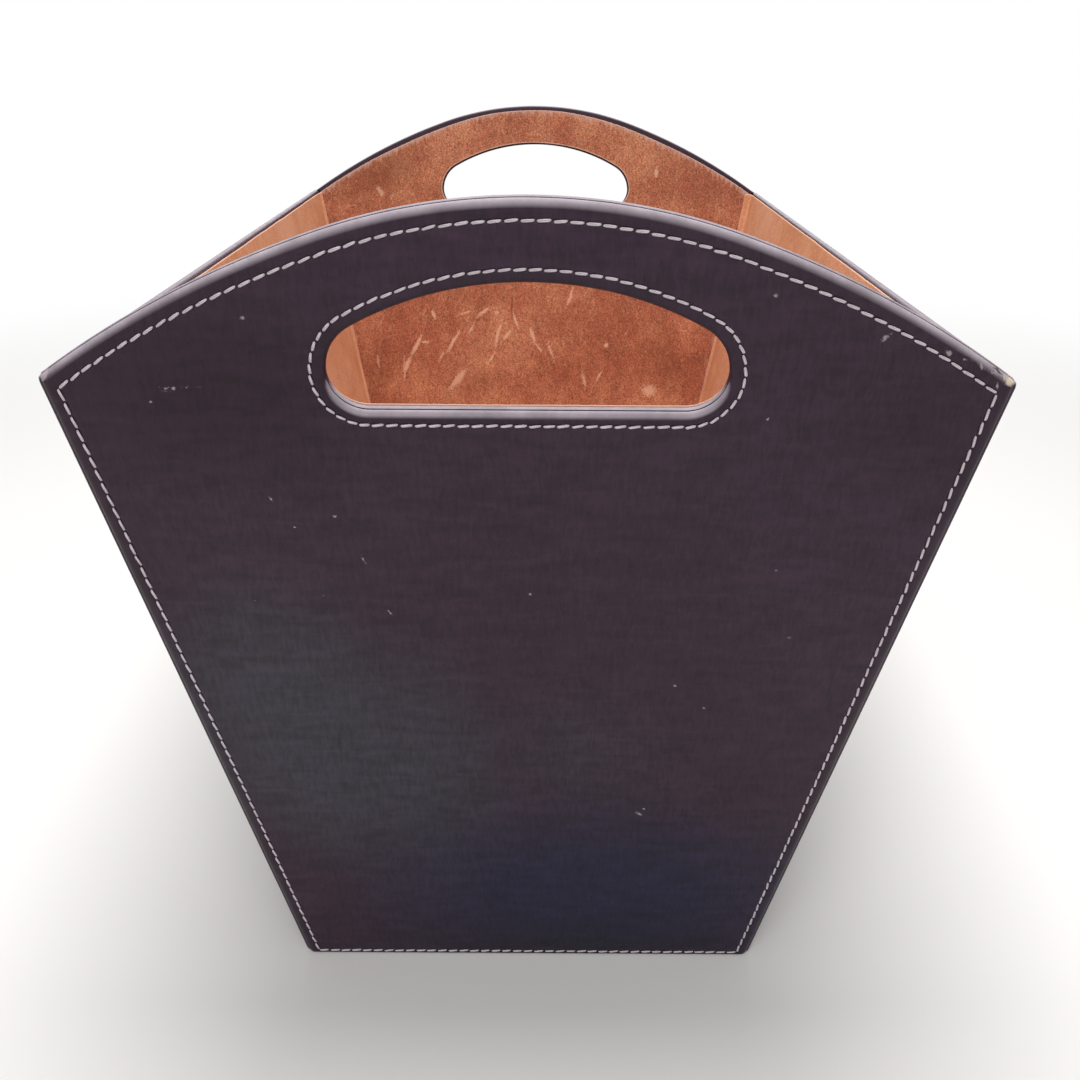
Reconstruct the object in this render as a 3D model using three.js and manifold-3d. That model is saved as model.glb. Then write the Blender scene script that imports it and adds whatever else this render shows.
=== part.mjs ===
// A magazine basket made of leatherette on board, in millimetres.
// Four walls lean outward from a flat base. The two end walls rise to an arch with a hand hole,
// and the two side walls have straight rims that run from corner to corner.
// Each wall is a carcass board with a stitched facing glued on its outside and a lining inside.
// The origin is on the floor under the middle of the base. +Z is up, +Y runs along the basket,
// and the front end wall is the one towards -Y.

import * as THREE from "three";
import { mergeVertices } from "three/addons/utils/BufferGeometryUtils.js";
import Module from "manifold-3d";

const wasm = await Module();
wasm.setup();

// Size of the basket. The arch is round in its middle and flatter towards the corners
const floorWidth = 187.9;
const floorLength = 350.5;
const cornerWidth = 286.8;
const cornerHeight = 267;
const archRise = 52.2;
const archMiddleRadius = 180.4;
const archMiddleReach = 58.3;
const endLeanDegrees = 7;

// Hand hole: a wide arched top on rounded ends, with a flat bottom
const gripDepth = 22.4;
const holeWidth = 119.8;
const holeCrown = 27.9;
const holeFoot = 12.5;
const shoulderRadius = 16.6;

// Sheets and boards of a wall, from the outside in, and the glue between them
const coverSheet = 0.5;
const facingCard = 0.9;
const wallBoard = 1.8;
const wrapSheet = 0.4;
const liningSheet = 0.4;
const glueLine = 0.25;

// Edges that are folded in or cut back
const rimTurnIn = 10;
const holeTurnIn = 8;
const liningSetback = 2.2;
const liningHoleSetback = 0.7;
const liningFlap = 5;

// Sewing thread, and how far each seam lies from the edge that it follows
const threadWidth = 1.2;
const threadHeight = 0.35;
const sideSeamMargin = 4;
const rimSeamMargin = 5;
const footSeamMargin = 2;
const holeSeamMargin = 3.9;

// Base
const baseCoverSheet = 0.8;
const baseBoardThickness = 3;
const floorLiningSheet = 0.6;
const floorClearance = 0.3;

// Cuts run past the surface that they open by this much
const cutOverrun = 1;

// Straight pieces that stand for each round stretch
const archMiddleSteps = 16;
const archFlankSteps = 10;
const crownSteps = 10;
const shoulderSteps = 5;
const footSteps = 6;
const lipSteps = 2;

// Depth of each layer below the outer face of its wall
const cardFace = coverSheet + glueLine;
const facingDepth = cardFace + facingCard;
const boardFace = facingDepth + glueLine;
const boardBack = boardFace + wallBoard;
const turnInFace = boardBack + glueLine;
const turnInBack = turnInFace + wrapSheet;
const liningFace = turnInBack + glueLine;
const liningBack = liningFace + liningSheet;
const flapFace = liningBack + glueLine;
const flapBack = flapFace + liningSheet;

// The turned edge of a facing is round where the cover goes over the card
const lipRadius = 2 * coverSheet;

// Height of each layer's lower edge above the floor
const carcassFoot = baseCoverSheet + glueLine;
const baseBoardTop = carcassFoot + baseBoardThickness;
const liningFoot = baseBoardTop + glueLine;

// Wall planes
const endLean = THREE.MathUtils.degToRad(endLeanDegrees);
const sideLean = Math.atan((cornerWidth - floorWidth) / 2 / cornerHeight);
const endSlope = cornerHeight / Math.cos(endLean);
const sideSlope = cornerHeight / Math.cos(sideLean);
const sideEdgeSlant = (cornerWidth - floorWidth) / 2 / endSlope;
const endEdgeSlant = Math.tan(endLean) * Math.cos(sideLean);
const sideFaceAtFloor = floorWidth / 2 + boardFace / Math.cos(sideLean);

// The side board stands inside the edge of the end board by its own thickness
const sideBoardInset = wallBoard + glueLine;
const sideLiningInset = liningFace - boardFace;

// Arch of an end wall, in the wall's own plane: a middle arc, and on each side a flank arc that is
// tangent to it and ends at the corner
const archTop = endSlope + archRise;
const middleCentre = archTop - archMiddleRadius;
const joinHeight = middleCentre + Math.sqrt(archMiddleRadius ** 2 - archMiddleReach ** 2);
const joinAngle = Math.atan2(joinHeight - middleCentre, archMiddleReach);
const flankRun = cornerWidth / 2 - archMiddleReach;
const flankDrop = joinHeight - endSlope;
const flankFall = flankDrop * Math.sin(joinAngle) - flankRun * Math.cos(joinAngle);
const flankRadius = (flankRun ** 2 + flankDrop ** 2) / (2 * flankFall);
const flankCentre = archMiddleReach - flankRadius * Math.cos(joinAngle);
const flankCentreHeight = joinHeight - flankRadius * Math.sin(joinAngle);

// Arcs of the hand hole, each tangent to the next
const holeTop = archTop - gripDepth;
const shoulderLine = holeTop - holeCrown;
const shoulderCentre = holeWidth / 2 - shoulderRadius;
const crownRadius =
  (shoulderCentre ** 2 + holeCrown ** 2 - shoulderRadius ** 2) / (2 * (holeCrown - shoulderRadius));
const crownCentre = holeTop - crownRadius;
const shoulderAngle = Math.atan2(shoulderLine - crownCentre, shoulderCentre);

// Finishes

const finishes = {
  leatherette: { color: "#3d343e", roughness: 0.5, metalness: 0 },
  card: { color: "#c8b48e", roughness: 0.9, metalness: 0 },
  board: { color: "#a98a62", roughness: 0.9, metalness: 0 },
  suede: { color: "#a8603d", roughness: 0.95, metalness: 0 },
  thread: { color: "#d9d0d4", roughness: 0.7, metalness: 0 },
};

// Solids: closed meshes that are joined and cut

function solidOf(geometry) {
  const bare = geometry.clone();
  bare.deleteAttribute("normal");
  bare.deleteAttribute("uv");
  const merged = mergeVertices(bare);
  return new wasm.Manifold(
    new wasm.Mesh({
      numProp: 3,
      vertProperties: merged.attributes.position.array,
      triVerts: new Uint32Array(merged.index.array),
    }),
  );
}

function geometryOf(solid) {
  const mesh = solid.getMesh();
  const geometry = new THREE.BufferGeometry();
  geometry.setAttribute("position", new THREE.BufferAttribute(mesh.vertProperties, 3));
  geometry.setIndex(new THREE.BufferAttribute(mesh.triVerts, 1));
  geometry.computeVertexNormals();
  return geometry;
}

// A flat layer that lies between two depths below the wall's outer face
function layerGeometry(shape, near, far) {
  const geometry = new THREE.ExtrudeGeometry(shape, { depth: far - near, bevelEnabled: false });
  geometry.translate(0, 0, -far);
  return geometry;
}

function layer(shape, near, far) {
  return solidOf(layerGeometry(shape, near, far));
}

// A layer from the outer face down, with its outer edges rounded
function lippedLayer(shape, depth) {
  const length = 2 * depth;
  const geometry = new THREE.ExtrudeGeometry(shape, {
    depth: length,
    bevelThickness: lipRadius,
    bevelSize: lipRadius,
    bevelOffset: -lipRadius,
    bevelSegments: lipSteps,
  });
  geometry.translate(0, 0, -length - lipRadius);
  const reach = 2 * (floorLength + archTop);
  const slab = new THREE.BoxGeometry(reach, reach, 2 * depth);
  return solidOf(geometry).intersect(solidOf(slab));
}

// Outlines in the plane of a wall: X across it, Y up its slope from the floor

function arc(x, y, radius, from, to, steps) {
  const points = [];
  for (let i = 0; i < steps; i += 1) {
    const angle = from + ((to - from) * i) / steps;
    points.push(new THREE.Vector2(x + radius * Math.cos(angle), y + radius * Math.sin(angle)));
  }
  return points;
}

// Half the width of an end wall at a height, with its side edge set in
function endHalfWidth(height, sideInset) {
  return floorWidth / 2 + height * sideEdgeSlant - sideInset * Math.hypot(1, sideEdgeSlant);
}

// Height where the side edge, set in, meets the arch, set down
function cornerOf(sideInset, rimInset) {
  const start = endHalfWidth(0, sideInset) - flankCentre;
  const a = 1 + sideEdgeSlant ** 2;
  const b = start * sideEdgeSlant - flankCentreHeight;
  const c = start ** 2 + flankCentreHeight ** 2 - (flankRadius - rimInset) ** 2;
  return (Math.sqrt(b * b - a * c) - b) / a;
}

// The arch from the right corner to the left one
function archPoints(sideInset, rimInset) {
  const height = cornerOf(sideInset, rimInset);
  const halfWidth = endHalfWidth(height, sideInset);
  const flank = flankRadius - rimInset;
  const middle = archMiddleRadius - rimInset;
  const start = Math.atan2(height - flankCentreHeight, halfWidth - flankCentre);
  const end = Math.PI - start;
  const left = Math.PI - joinAngle;
  return [
    ...arc(flankCentre, flankCentreHeight, flank, start, joinAngle, archFlankSteps),
    ...arc(0, middleCentre, middle, joinAngle, left, archMiddleSteps),
    ...arc(-flankCentre, flankCentreHeight, flank, left, end, archFlankSteps),
    new THREE.Vector2(-halfWidth, height),
  ];
}

function holePoints(outset) {
  const footCentre = holeWidth / 2 - holeFoot;
  const foot = holeFoot + outset;
  const shoulder = shoulderRadius + outset;
  const quarter = Math.PI / 2;
  const left = Math.PI - shoulderAngle;
  return [
    ...arc(footCentre, shoulderLine, foot, -quarter, 0, footSteps),
    ...arc(shoulderCentre, shoulderLine, shoulder, 0, shoulderAngle, shoulderSteps),
    ...arc(0, crownCentre, crownRadius + outset, shoulderAngle, left, crownSteps),
    ...arc(-shoulderCentre, shoulderLine, shoulder, left, Math.PI, shoulderSteps),
    ...arc(-footCentre, shoulderLine, foot, Math.PI, 3 * quarter, footSteps),
    new THREE.Vector2(-footCentre, shoulderLine - foot),
  ];
}

// An end wall's outline, with its edges set in and its lower edge at a height above the floor
function endOutline(sideInset, rimInset, footHeight) {
  const foot = footHeight / Math.cos(endLean);
  const halfWidth = endHalfWidth(foot, sideInset);
  return [
    new THREE.Vector2(-halfWidth, foot),
    new THREE.Vector2(halfWidth, foot),
    ...archPoints(sideInset, rimInset),
  ];
}

function shapeOf(points, holes = []) {
  const shape = new THREE.Shape(points);
  for (const hole of holes) shape.holes.push(new THREE.Path(hole));
  return shape;
}

// A strip that follows the arch, between two distances below it
function archBand(sideInset, from, to) {
  return shapeOf([...archPoints(sideInset, from), ...archPoints(sideInset, to).reverse()]);
}

// Half the length of a side wall at a height, with its ends set back from the end walls' faces
function sideHalfLength(height, endInset) {
  return floorLength / 2 - endInset / Math.cos(endLean) + height * endEdgeSlant;
}

function sideOutline(endInset, rimInset, footHeight) {
  const foot = footHeight / Math.cos(sideLean);
  const rim = sideSlope - rimInset;
  const low = sideHalfLength(foot, endInset);
  const high = sideHalfLength(rim, endInset);
  return [
    new THREE.Vector2(-low, foot),
    new THREE.Vector2(low, foot),
    new THREE.Vector2(high, rim),
    new THREE.Vector2(-high, rim),
  ];
}

function sideBand(endInset, from, to) {
  const lower = (sideSlope - to) * Math.cos(sideLean);
  return shapeOf(sideOutline(endInset, from, lower));
}

// Where each wall stands: turned about the upright axis, moved out from the middle and leaned

function wallPlace(turn, distance, lean) {
  return new THREE.Matrix4()
    .makeRotationZ(turn)
    .multiply(new THREE.Matrix4().makeTranslation(0, -distance, 0))
    .multiply(new THREE.Matrix4().makeRotationX(Math.PI / 2 + lean));
}

const places = {
  front: wallPlace(0, floorLength / 2, endLean),
  back: wallPlace(Math.PI, floorLength / 2, endLean),
  right: wallPlace(Math.PI / 2, sideFaceAtFloor, sideLean),
  left: wallPlace(-Math.PI / 2, sideFaceAtFloor, sideLean),
};

// Facing: leatherette turned over the edges of a card

function coverOf(outlineAt) {
  const shell = lippedLayer(outlineAt(0), facingDepth);
  const pocket = layer(outlineAt(coverSheet), coverSheet, facingDepth + cutOverrun);
  return shell.subtract(pocket);
}

function endFacingShape(inset) {
  return shapeOf(endOutline(inset, inset, floorClearance + inset), [holePoints(inset)]);
}

function sideFacingShape(inset) {
  return shapeOf(sideOutline(boardFace + inset, inset, floorClearance + inset));
}

function endFacingCover() {
  return coverOf(endFacingShape);
}

function sideFacingCover() {
  return coverOf(sideFacingShape);
}

function endFacingCard() {
  return layer(endFacingShape(cardFace), cardFace, facingDepth);
}

function sideFacingCard() {
  return layer(sideFacingShape(cardFace), cardFace, facingDepth);
}

// Carcass boards: the end boards cover the ends of the side boards

function endBoard() {
  const edge = wrapSheet + glueLine;
  const shape = shapeOf(endOutline(0, edge, carcassFoot), [holePoints(edge)]);
  return layer(shape, boardFace, boardBack);
}

function sideBoard() {
  const shape = shapeOf(sideOutline(turnInFace, wrapSheet + glueLine, carcassFoot));
  return layer(shape, boardFace, boardBack);
}

// Edge wraps: leatherette over the edge of a board and down its inner face, under the lining

function endRimWrap() {
  const cap = layer(archBand(0, 0, wrapSheet), boardFace, boardBack);
  const fold = layer(archBand(sideBoardInset, 0, wrapSheet), boardFace, turnInBack);
  const turnIn = layer(archBand(sideBoardInset, 0, rimTurnIn), turnInFace, turnInBack);
  return cap.add(fold).add(turnIn);
}

function sideRimWrap() {
  const cap = layer(sideBand(turnInFace, 0, wrapSheet), boardFace, boardBack);
  const fold = layer(sideBand(flapFace, 0, wrapSheet), boardFace, turnInBack);
  const turnIn = layer(sideBand(flapFace, 0, rimTurnIn), turnInFace, turnInBack);
  return cap.add(fold).add(turnIn);
}

function handHoleWrap() {
  const cap = layer(shapeOf(holePoints(wrapSheet), [holePoints(0)]), boardFace, turnInBack);
  const turnIn = layer(shapeOf(holePoints(holeTurnIn), [holePoints(0)]), turnInFace, turnInBack);
  return cap.add(turnIn);
}

// Linings: suede paper. The side linings turn the inner corners and lap the end linings

function endLining() {
  const outline = endOutline(sideBoardInset, liningSetback, liningFoot);
  return layer(shapeOf(outline, [holePoints(liningHoleSetback)]), liningFace, liningBack);
}

// The lap on an end wall, in that wall's own plane, at its right or left corner
function cornerFlap(side) {
  const foot = liningFoot / Math.cos(endLean);
  const rim = endSlope - liningSetback;
  const outer = sideLiningInset;
  const inner = sideLiningInset + liningFlap;
  const corners = [
    new THREE.Vector2(side * endHalfWidth(foot, inner), foot),
    new THREE.Vector2(side * endHalfWidth(foot, outer), foot),
    new THREE.Vector2(side * endHalfWidth(rim, outer), rim),
    new THREE.Vector2(side * endHalfWidth(rim, inner), rim),
  ];
  return layerGeometry(shapeOf(corners), flapFace, flapBack);
}

// The right side wall meets the front wall's right corner and the back wall's left one
function sideLining(place, side) {
  const plate = layer(shapeOf(sideOutline(flapFace, liningSetback, liningFoot)), liningFace, liningBack);
  const toSide = place.clone().invert();
  const front = cornerFlap(side).applyMatrix4(toSide.clone().multiply(places.front));
  const back = cornerFlap(-side).applyMatrix4(toSide.clone().multiply(places.back));
  return plate.add(solidOf(front)).add(solidOf(back));
}

// Seams: thread that lies along the facing, just clear of its surface

function seamOf(outer, inner) {
  return layer(shapeOf(outer, [inner]), -glueLine - threadHeight, -glueLine);
}

function endBorderSeam() {
  const half = threadWidth / 2;
  const foot = floorClearance + footSeamMargin;
  const outer = endOutline(sideSeamMargin - half, rimSeamMargin - half, foot - half);
  const inner = endOutline(sideSeamMargin + half, rimSeamMargin + half, foot + half);
  return seamOf(outer, inner);
}

function sideBorderSeam() {
  const half = threadWidth / 2;
  const foot = floorClearance + footSeamMargin;
  const end = boardFace + sideSeamMargin;
  const outer = sideOutline(end - half, rimSeamMargin - half, foot - half);
  const inner = sideOutline(end + half, rimSeamMargin + half, foot + half);
  return seamOf(outer, inner);
}

function handHoleSeam() {
  const half = threadWidth / 2;
  return seamOf(holePoints(holeSeamMargin + half), holePoints(holeSeamMargin - half));
}

// Base: a board between the walls, covered below and lined above

function plate(halfWidth, halfLength, bottom, thickness) {
  const geometry = new THREE.BoxGeometry(2 * halfWidth, 2 * halfLength, thickness);
  geometry.translate(0, 0, bottom + thickness / 2);
  return solidOf(geometry);
}

function baseCover() {
  const halfWidth = floorWidth / 2;
  const halfLength = sideHalfLength(0, boardFace);
  return plate(halfWidth, halfLength, 0, baseCoverSheet);
}

function baseBoard() {
  const halfWidth = floorWidth / 2 - sideBoardInset / Math.cos(sideLean);
  const halfLength = sideHalfLength(0, turnInFace);
  return plate(halfWidth, halfLength, carcassFoot, baseBoardThickness);
}

function floorLining() {
  const halfWidth = sideFaceAtFloor - flapFace / Math.cos(sideLean);
  const halfLength = sideHalfLength(0, flapBack + glueLine);
  return plate(halfWidth, halfLength, liningFoot, floorLiningSheet);
}

// The basket, put together

const basket = new THREE.Group();

function addPiece(parent, name, finish, solid) {
  const material = new THREE.MeshStandardMaterial(finishes[finish]);
  const piece = new THREE.Mesh(geometryOf(solid), material);
  piece.name = name;
  parent.add(piece);
}

function addEndWall(name) {
  const wall = new THREE.Group();
  wall.applyMatrix4(places[name]);
  addPiece(wall, `${name}_facing_cover`, "leatherette", endFacingCover());
  addPiece(wall, `${name}_facing_card`, "card", endFacingCard());
  addPiece(wall, `${name}_wall_board`, "board", endBoard());
  addPiece(wall, `${name}_rim_wrap`, "leatherette", endRimWrap());
  addPiece(wall, `${name}_hand_hole_wrap`, "leatherette", handHoleWrap());
  addPiece(wall, `${name}_wall_lining`, "suede", endLining());
  addPiece(wall, `${name}_border_seam`, "thread", endBorderSeam());
  addPiece(wall, `${name}_hand_hole_seam`, "thread", handHoleSeam());
  basket.add(wall);
}

function addSideWall(name, side) {
  const wall = new THREE.Group();
  wall.applyMatrix4(places[name]);
  addPiece(wall, `${name}_facing_cover`, "leatherette", sideFacingCover());
  addPiece(wall, `${name}_facing_card`, "card", sideFacingCard());
  addPiece(wall, `${name}_wall_board`, "board", sideBoard());
  addPiece(wall, `${name}_rim_wrap`, "leatherette", sideRimWrap());
  addPiece(wall, `${name}_wall_lining`, "suede", sideLining(places[name], side));
  addPiece(wall, `${name}_border_seam`, "thread", sideBorderSeam());
  basket.add(wall);
}

addEndWall("front");
addEndWall("back");
addSideWall("right", 1);
addSideWall("left", -1);
addPiece(basket, "base_cover", "leatherette", baseCover());
addPiece(basket, "base_board", "board", baseBoard());
addPiece(basket, "floor_lining", "suede", floorLining());

export default basket;
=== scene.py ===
import math
import random

import bmesh
import bpy
from mathutils import Matrix, Vector, noise


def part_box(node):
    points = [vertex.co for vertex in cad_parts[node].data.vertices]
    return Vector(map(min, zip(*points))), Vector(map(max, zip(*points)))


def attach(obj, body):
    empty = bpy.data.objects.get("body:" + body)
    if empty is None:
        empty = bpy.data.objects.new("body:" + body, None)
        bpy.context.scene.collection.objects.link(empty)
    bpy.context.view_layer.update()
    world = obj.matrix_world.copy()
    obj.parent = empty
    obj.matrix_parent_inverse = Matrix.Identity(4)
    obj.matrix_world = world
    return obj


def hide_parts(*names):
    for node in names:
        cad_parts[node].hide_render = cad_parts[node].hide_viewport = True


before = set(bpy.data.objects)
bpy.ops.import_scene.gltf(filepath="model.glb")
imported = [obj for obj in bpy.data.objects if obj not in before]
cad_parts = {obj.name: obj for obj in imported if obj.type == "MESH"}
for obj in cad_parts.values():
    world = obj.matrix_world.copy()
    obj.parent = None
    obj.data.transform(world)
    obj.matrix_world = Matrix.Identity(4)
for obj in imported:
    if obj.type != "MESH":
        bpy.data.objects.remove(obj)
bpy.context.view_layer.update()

# Camera: a phone's main lens, held about half a metre in front of the basket and above its rim,
# and turned a little on its own axis.
CAMERA_PLACE = Vector((0.00357, -0.5037, 0.3581))
CAMERA_DOWN = 0.4495
CAMERA_YAW = 0.0013
CAMERA_ROLL = 0.0069

camera = bpy.data.objects.new("camera", bpy.data.cameras.new("camera"))
camera.data.sensor_width = 36
camera.data.lens = 34.67
camera.matrix_world = (
    Matrix.Translation(CAMERA_PLACE)
    @ Matrix.Rotation(-CAMERA_YAW, 4, "Z")
    @ Matrix.Rotation(math.pi / 2 - CAMERA_DOWN, 4, "X")
    @ Matrix.Rotation(CAMERA_ROLL, 4, "Z")
)
bpy.context.scene.collection.objects.link(camera)
bpy.context.scene.camera = camera
bpy.context.scene.view_settings.view_transform = "Standard"


# Facings: the panel glued on the outside of each wall, a sheet of leatherette turned over the edges
# of a thin card. Its edge is a soft roll, and the seam along each border and round each hand hole
# lies in a shallow groove that the thread has pulled into the sheet. Sizes are in millimetres.
MILLIMETRE = 0.001
FLOOR_WIDTH = 187.9
FLOOR_LENGTH = 350.5
CORNER_WIDTH = 286.8
CORNER_HEIGHT = 267.0
ARCH_RISE = 52.2
ARCH_MIDDLE_RADIUS = 180.4
ARCH_MIDDLE_REACH = 58.3
FACING_STANDS_OUT = 1.9

END_LEAN = math.radians(7)
SIDE_LEAN = math.atan((CORNER_WIDTH - FLOOR_WIDTH) / 2 / CORNER_HEIGHT)
END_SLOPE = CORNER_HEIGHT / math.cos(END_LEAN)
SIDE_SLOPE = CORNER_HEIGHT / math.cos(SIDE_LEAN)
SIDE_EDGE_SLANT = (CORNER_WIDTH - FLOOR_WIDTH) / 2 / END_SLOPE
END_EDGE_SLANT = math.tan(END_LEAN) * math.cos(SIDE_LEAN)
SIDE_DISTANCE = FLOOR_WIDTH / 2 + FACING_STANDS_OUT / math.cos(SIDE_LEAN)

# The arch is round in its middle, and on each side a flatter arc runs on from it to the corner.
ARCH_TOP = END_SLOPE + ARCH_RISE
MIDDLE_CENTRE = ARCH_TOP - ARCH_MIDDLE_RADIUS
JOIN_ANGLE = math.acos(ARCH_MIDDLE_REACH / ARCH_MIDDLE_RADIUS)
JOIN_HEIGHT = MIDDLE_CENTRE + ARCH_MIDDLE_RADIUS * math.sin(JOIN_ANGLE)
FLANK_RUN = CORNER_WIDTH / 2 - ARCH_MIDDLE_REACH
FLANK_DROP = JOIN_HEIGHT - END_SLOPE
FLANK_FALL = FLANK_DROP * math.sin(JOIN_ANGLE) - FLANK_RUN * math.cos(JOIN_ANGLE)
FLANK_RADIUS = (FLANK_RUN**2 + FLANK_DROP**2) / (2 * FLANK_FALL)
FLANK_CENTRE = ARCH_MIDDLE_REACH - FLANK_RADIUS * math.cos(JOIN_ANGLE)
FLANK_CENTRE_HEIGHT = JOIN_HEIGHT - FLANK_RADIUS * math.sin(JOIN_ANGLE)
FLANK_SHARE = 0.302

# The hand hole has a wide arched top on rounded ends and a flat bottom.
GRIP_DEPTH = 22.4
HOLE_WIDTH = 119.8
HOLE_CROWN = 27.9
HOLE_FOOT = 12.5
SHOULDER_RADIUS = 16.6
HOLE_TOP = ARCH_TOP - GRIP_DEPTH
SHOULDER_LINE = HOLE_TOP - HOLE_CROWN
SHOULDER_CENTRE = HOLE_WIDTH / 2 - SHOULDER_RADIUS
FOOT_CENTRE = HOLE_WIDTH / 2 - HOLE_FOOT
CROWN_RADIUS = (SHOULDER_CENTRE**2 + HOLE_CROWN**2 - SHOULDER_RADIUS**2) / (
    2 * (HOLE_CROWN - SHOULDER_RADIUS)
)
CROWN_CENTRE = HOLE_TOP - CROWN_RADIUS
SHOULDER_ANGLE = math.atan2(SHOULDER_LINE - CROWN_CENTRE, SHOULDER_CENTRE)

# Stitches along each stretch of a seam, counted on the real one.
FOOT_STITCHES, EDGE_STITCHES, ARCH_STITCHES = 39, 58, 65
SIDE_FOOT_STITCHES, SIDE_RIM_STITCHES = 74, 88
HOLE_FOOT_STITCHES, HOLE_END_STITCHES, HOLE_CROWN_STITCHES = 22, 13, 26
FOOT_ARC_SHARE = 0.54
END_STITCHES = FOOT_STITCHES + 2 * EDGE_STITCHES + ARCH_STITCHES
SIDE_STITCHES = SIDE_FOOT_STITCHES + 2 * EDGE_STITCHES + SIDE_RIM_STITCHES
HOLE_STITCHES = HOLE_FOOT_STITCHES + 2 * HOLE_END_STITCHES + HOLE_CROWN_STITCHES
POINTS_PER_STITCH = 4

# How far the seam lies from each edge, the section of the turned edge, and the groove pulled by the seam.
SIDE_SEAM_MARGIN = 4.0
RIM_SEAM_MARGIN = 5.0
FOOT_SEAM_MARGIN = 2.0
HOLE_SEAM_MARGIN = 3.9
FLOOR_CLEARANCE = 0.3
FACING_SHEET = 0.4
FACING_DEPTH = 1.64
LIP_DEPTH = 1.5
FOOT_LIP, HOLE_LIP = 0.8, 2.5
HOLE_FOOT_PROUD, HOLE_PROUD = 0.6, 0.15
TURNED_EDGE = ((0.6, 0), (0.06, 0), (0.01, 0.05))
LIP_ANGLES = (0, 18, 36, 54, 72, 90)
GROOVE_SINK = 0.24
GROOVE_HALF = ((1.1, 0), (0.8, 0.2), (0.45, 0.75), (0.15, 1))
FLAT_BEYOND_SEAM = 2.0
FACE_CELL = 12.0
FACE_SWELL = 0.16
FACE_SWELL_SIZE = 55.0
CORNER_SOFTNESS = 1.6
MERGE_REACH = 0.001
LEVEL_REACH = 0.01

# How each kind of edge is painted: how pale where it looks up, a painted highlight with some real rubbing;
# how much painted shade lies on the rest of it; and the slopes from which it is pale a little and pale in
# full.
BORDER, HOLE_EDGE, STRIP = 1, 2, 3
EDGE_LIGHT_AND_WEAR = {
    BORDER: (0.86, 0.1, 0.1, 0.42),
    HOLE_EDGE: (0.74, 0.15, 0.08, 0.32),
    STRIP: (0.58, 0.12, 0.15, 0.6),
}

# Each wall's rolled edges: the roll's width at the sides and at the rim, and how far each stands proud.
EDGE_ROLLS = {
    "front": (2.2, 3.0, 0.5, 0.7),
    "back": (2.2, 2.4, 0.5, 0.1),
    "right": (1.2, 2.2, 0.7, 0.5),
    "left": (1.2, 2.2, 0.7, 0.5),
}


def wall_place(turn, distance, lean):
    """Takes a wall's own millimetres, across, up its slope and outward, to the row frame in metres."""
    return (
        Matrix.Scale(MILLIMETRE, 4)
        @ Matrix.Rotation(turn, 4, "Z")
        @ Matrix.Translation((0, -distance, 0))
        @ Matrix.Rotation(math.pi / 2 + lean, 4, "X")
    )


def end_half_width(height, side):
    return FLOOR_WIDTH / 2 + height * SIDE_EDGE_SLANT - side * math.hypot(1, SIDE_EDGE_SLANT)


def corner_height(side, rim):
    """Height where an end wall's side edge, set in, meets its arch, set down."""
    start = end_half_width(0, side) - FLANK_CENTRE
    a = 1 + SIDE_EDGE_SLANT**2
    b = start * SIDE_EDGE_SLANT - FLANK_CENTRE_HEIGHT
    c = start**2 + FLANK_CENTRE_HEIGHT**2 - (FLANK_RADIUS - rim) ** 2
    return (math.sqrt(b * b - a * c) - b) / a


def on_arc(x, y, radius, angle):
    return Vector((x + radius * math.cos(angle), y + radius * math.sin(angle)))


def arch_point(side, rim, along):
    """A point of the arch, which runs from its right corner, at 0, to its left one, at 1."""
    climbed = min(along, 1 - along)
    if climbed < FLANK_SHARE:
        height = corner_height(side, rim)
        start = math.atan2(height - FLANK_CENTRE_HEIGHT, end_half_width(height, side) - FLANK_CENTRE)
        angle = start + (JOIN_ANGLE - start) * climbed / FLANK_SHARE
        point = on_arc(FLANK_CENTRE, FLANK_CENTRE_HEIGHT, FLANK_RADIUS - rim, angle)
    else:
        share = (climbed - FLANK_SHARE) / (0.5 - FLANK_SHARE)
        angle = JOIN_ANGLE + (math.pi / 2 - JOIN_ANGLE) * share
        point = on_arc(0, MIDDLE_CENTRE, ARCH_MIDDLE_RADIUS - rim, angle)
    return Vector((point.x if along < 0.5 else -point.x, point.y))


def end_ring(side, rim, foot, stitch):
    """A point of an end wall's inset outline, by the stitches from its lower left corner."""
    low = foot / math.cos(END_LEAN)
    high = corner_height(side, rim)
    if stitch < FOOT_STITCHES:
        return Vector((end_half_width(low, side) * (2 * stitch / FOOT_STITCHES - 1), low))
    stitch -= FOOT_STITCHES
    if stitch < EDGE_STITCHES:
        height = low + (high - low) * stitch / EDGE_STITCHES
        return Vector((end_half_width(height, side), height))
    stitch -= EDGE_STITCHES
    if stitch < ARCH_STITCHES:
        return arch_point(side, rim, stitch / ARCH_STITCHES)
    stitch -= ARCH_STITCHES
    height = high + (low - high) * stitch / EDGE_STITCHES
    return Vector((-end_half_width(height, side), height))


def side_half_length(height, end):
    return FLOOR_LENGTH / 2 - end / math.cos(END_LEAN) + height * END_EDGE_SLANT


def side_ring(side, rim, foot, stitch):
    """The same for a side wall, whose facing starts behind the end facings."""
    end = FACING_STANDS_OUT + side
    low = foot / math.cos(SIDE_LEAN)
    high = SIDE_SLOPE - rim
    if stitch < SIDE_FOOT_STITCHES:
        return Vector((side_half_length(low, end) * (2 * stitch / SIDE_FOOT_STITCHES - 1), low))
    stitch -= SIDE_FOOT_STITCHES
    if stitch < EDGE_STITCHES:
        height = low + (high - low) * stitch / EDGE_STITCHES
        return Vector((side_half_length(height, end), height))
    stitch -= EDGE_STITCHES
    if stitch < SIDE_RIM_STITCHES:
        return Vector((side_half_length(high, end) * (1 - 2 * stitch / SIDE_RIM_STITCHES), high))
    stitch -= SIDE_RIM_STITCHES
    height = high + (low - high) * stitch / EDGE_STITCHES
    return Vector((-side_half_length(height, end), height))


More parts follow.
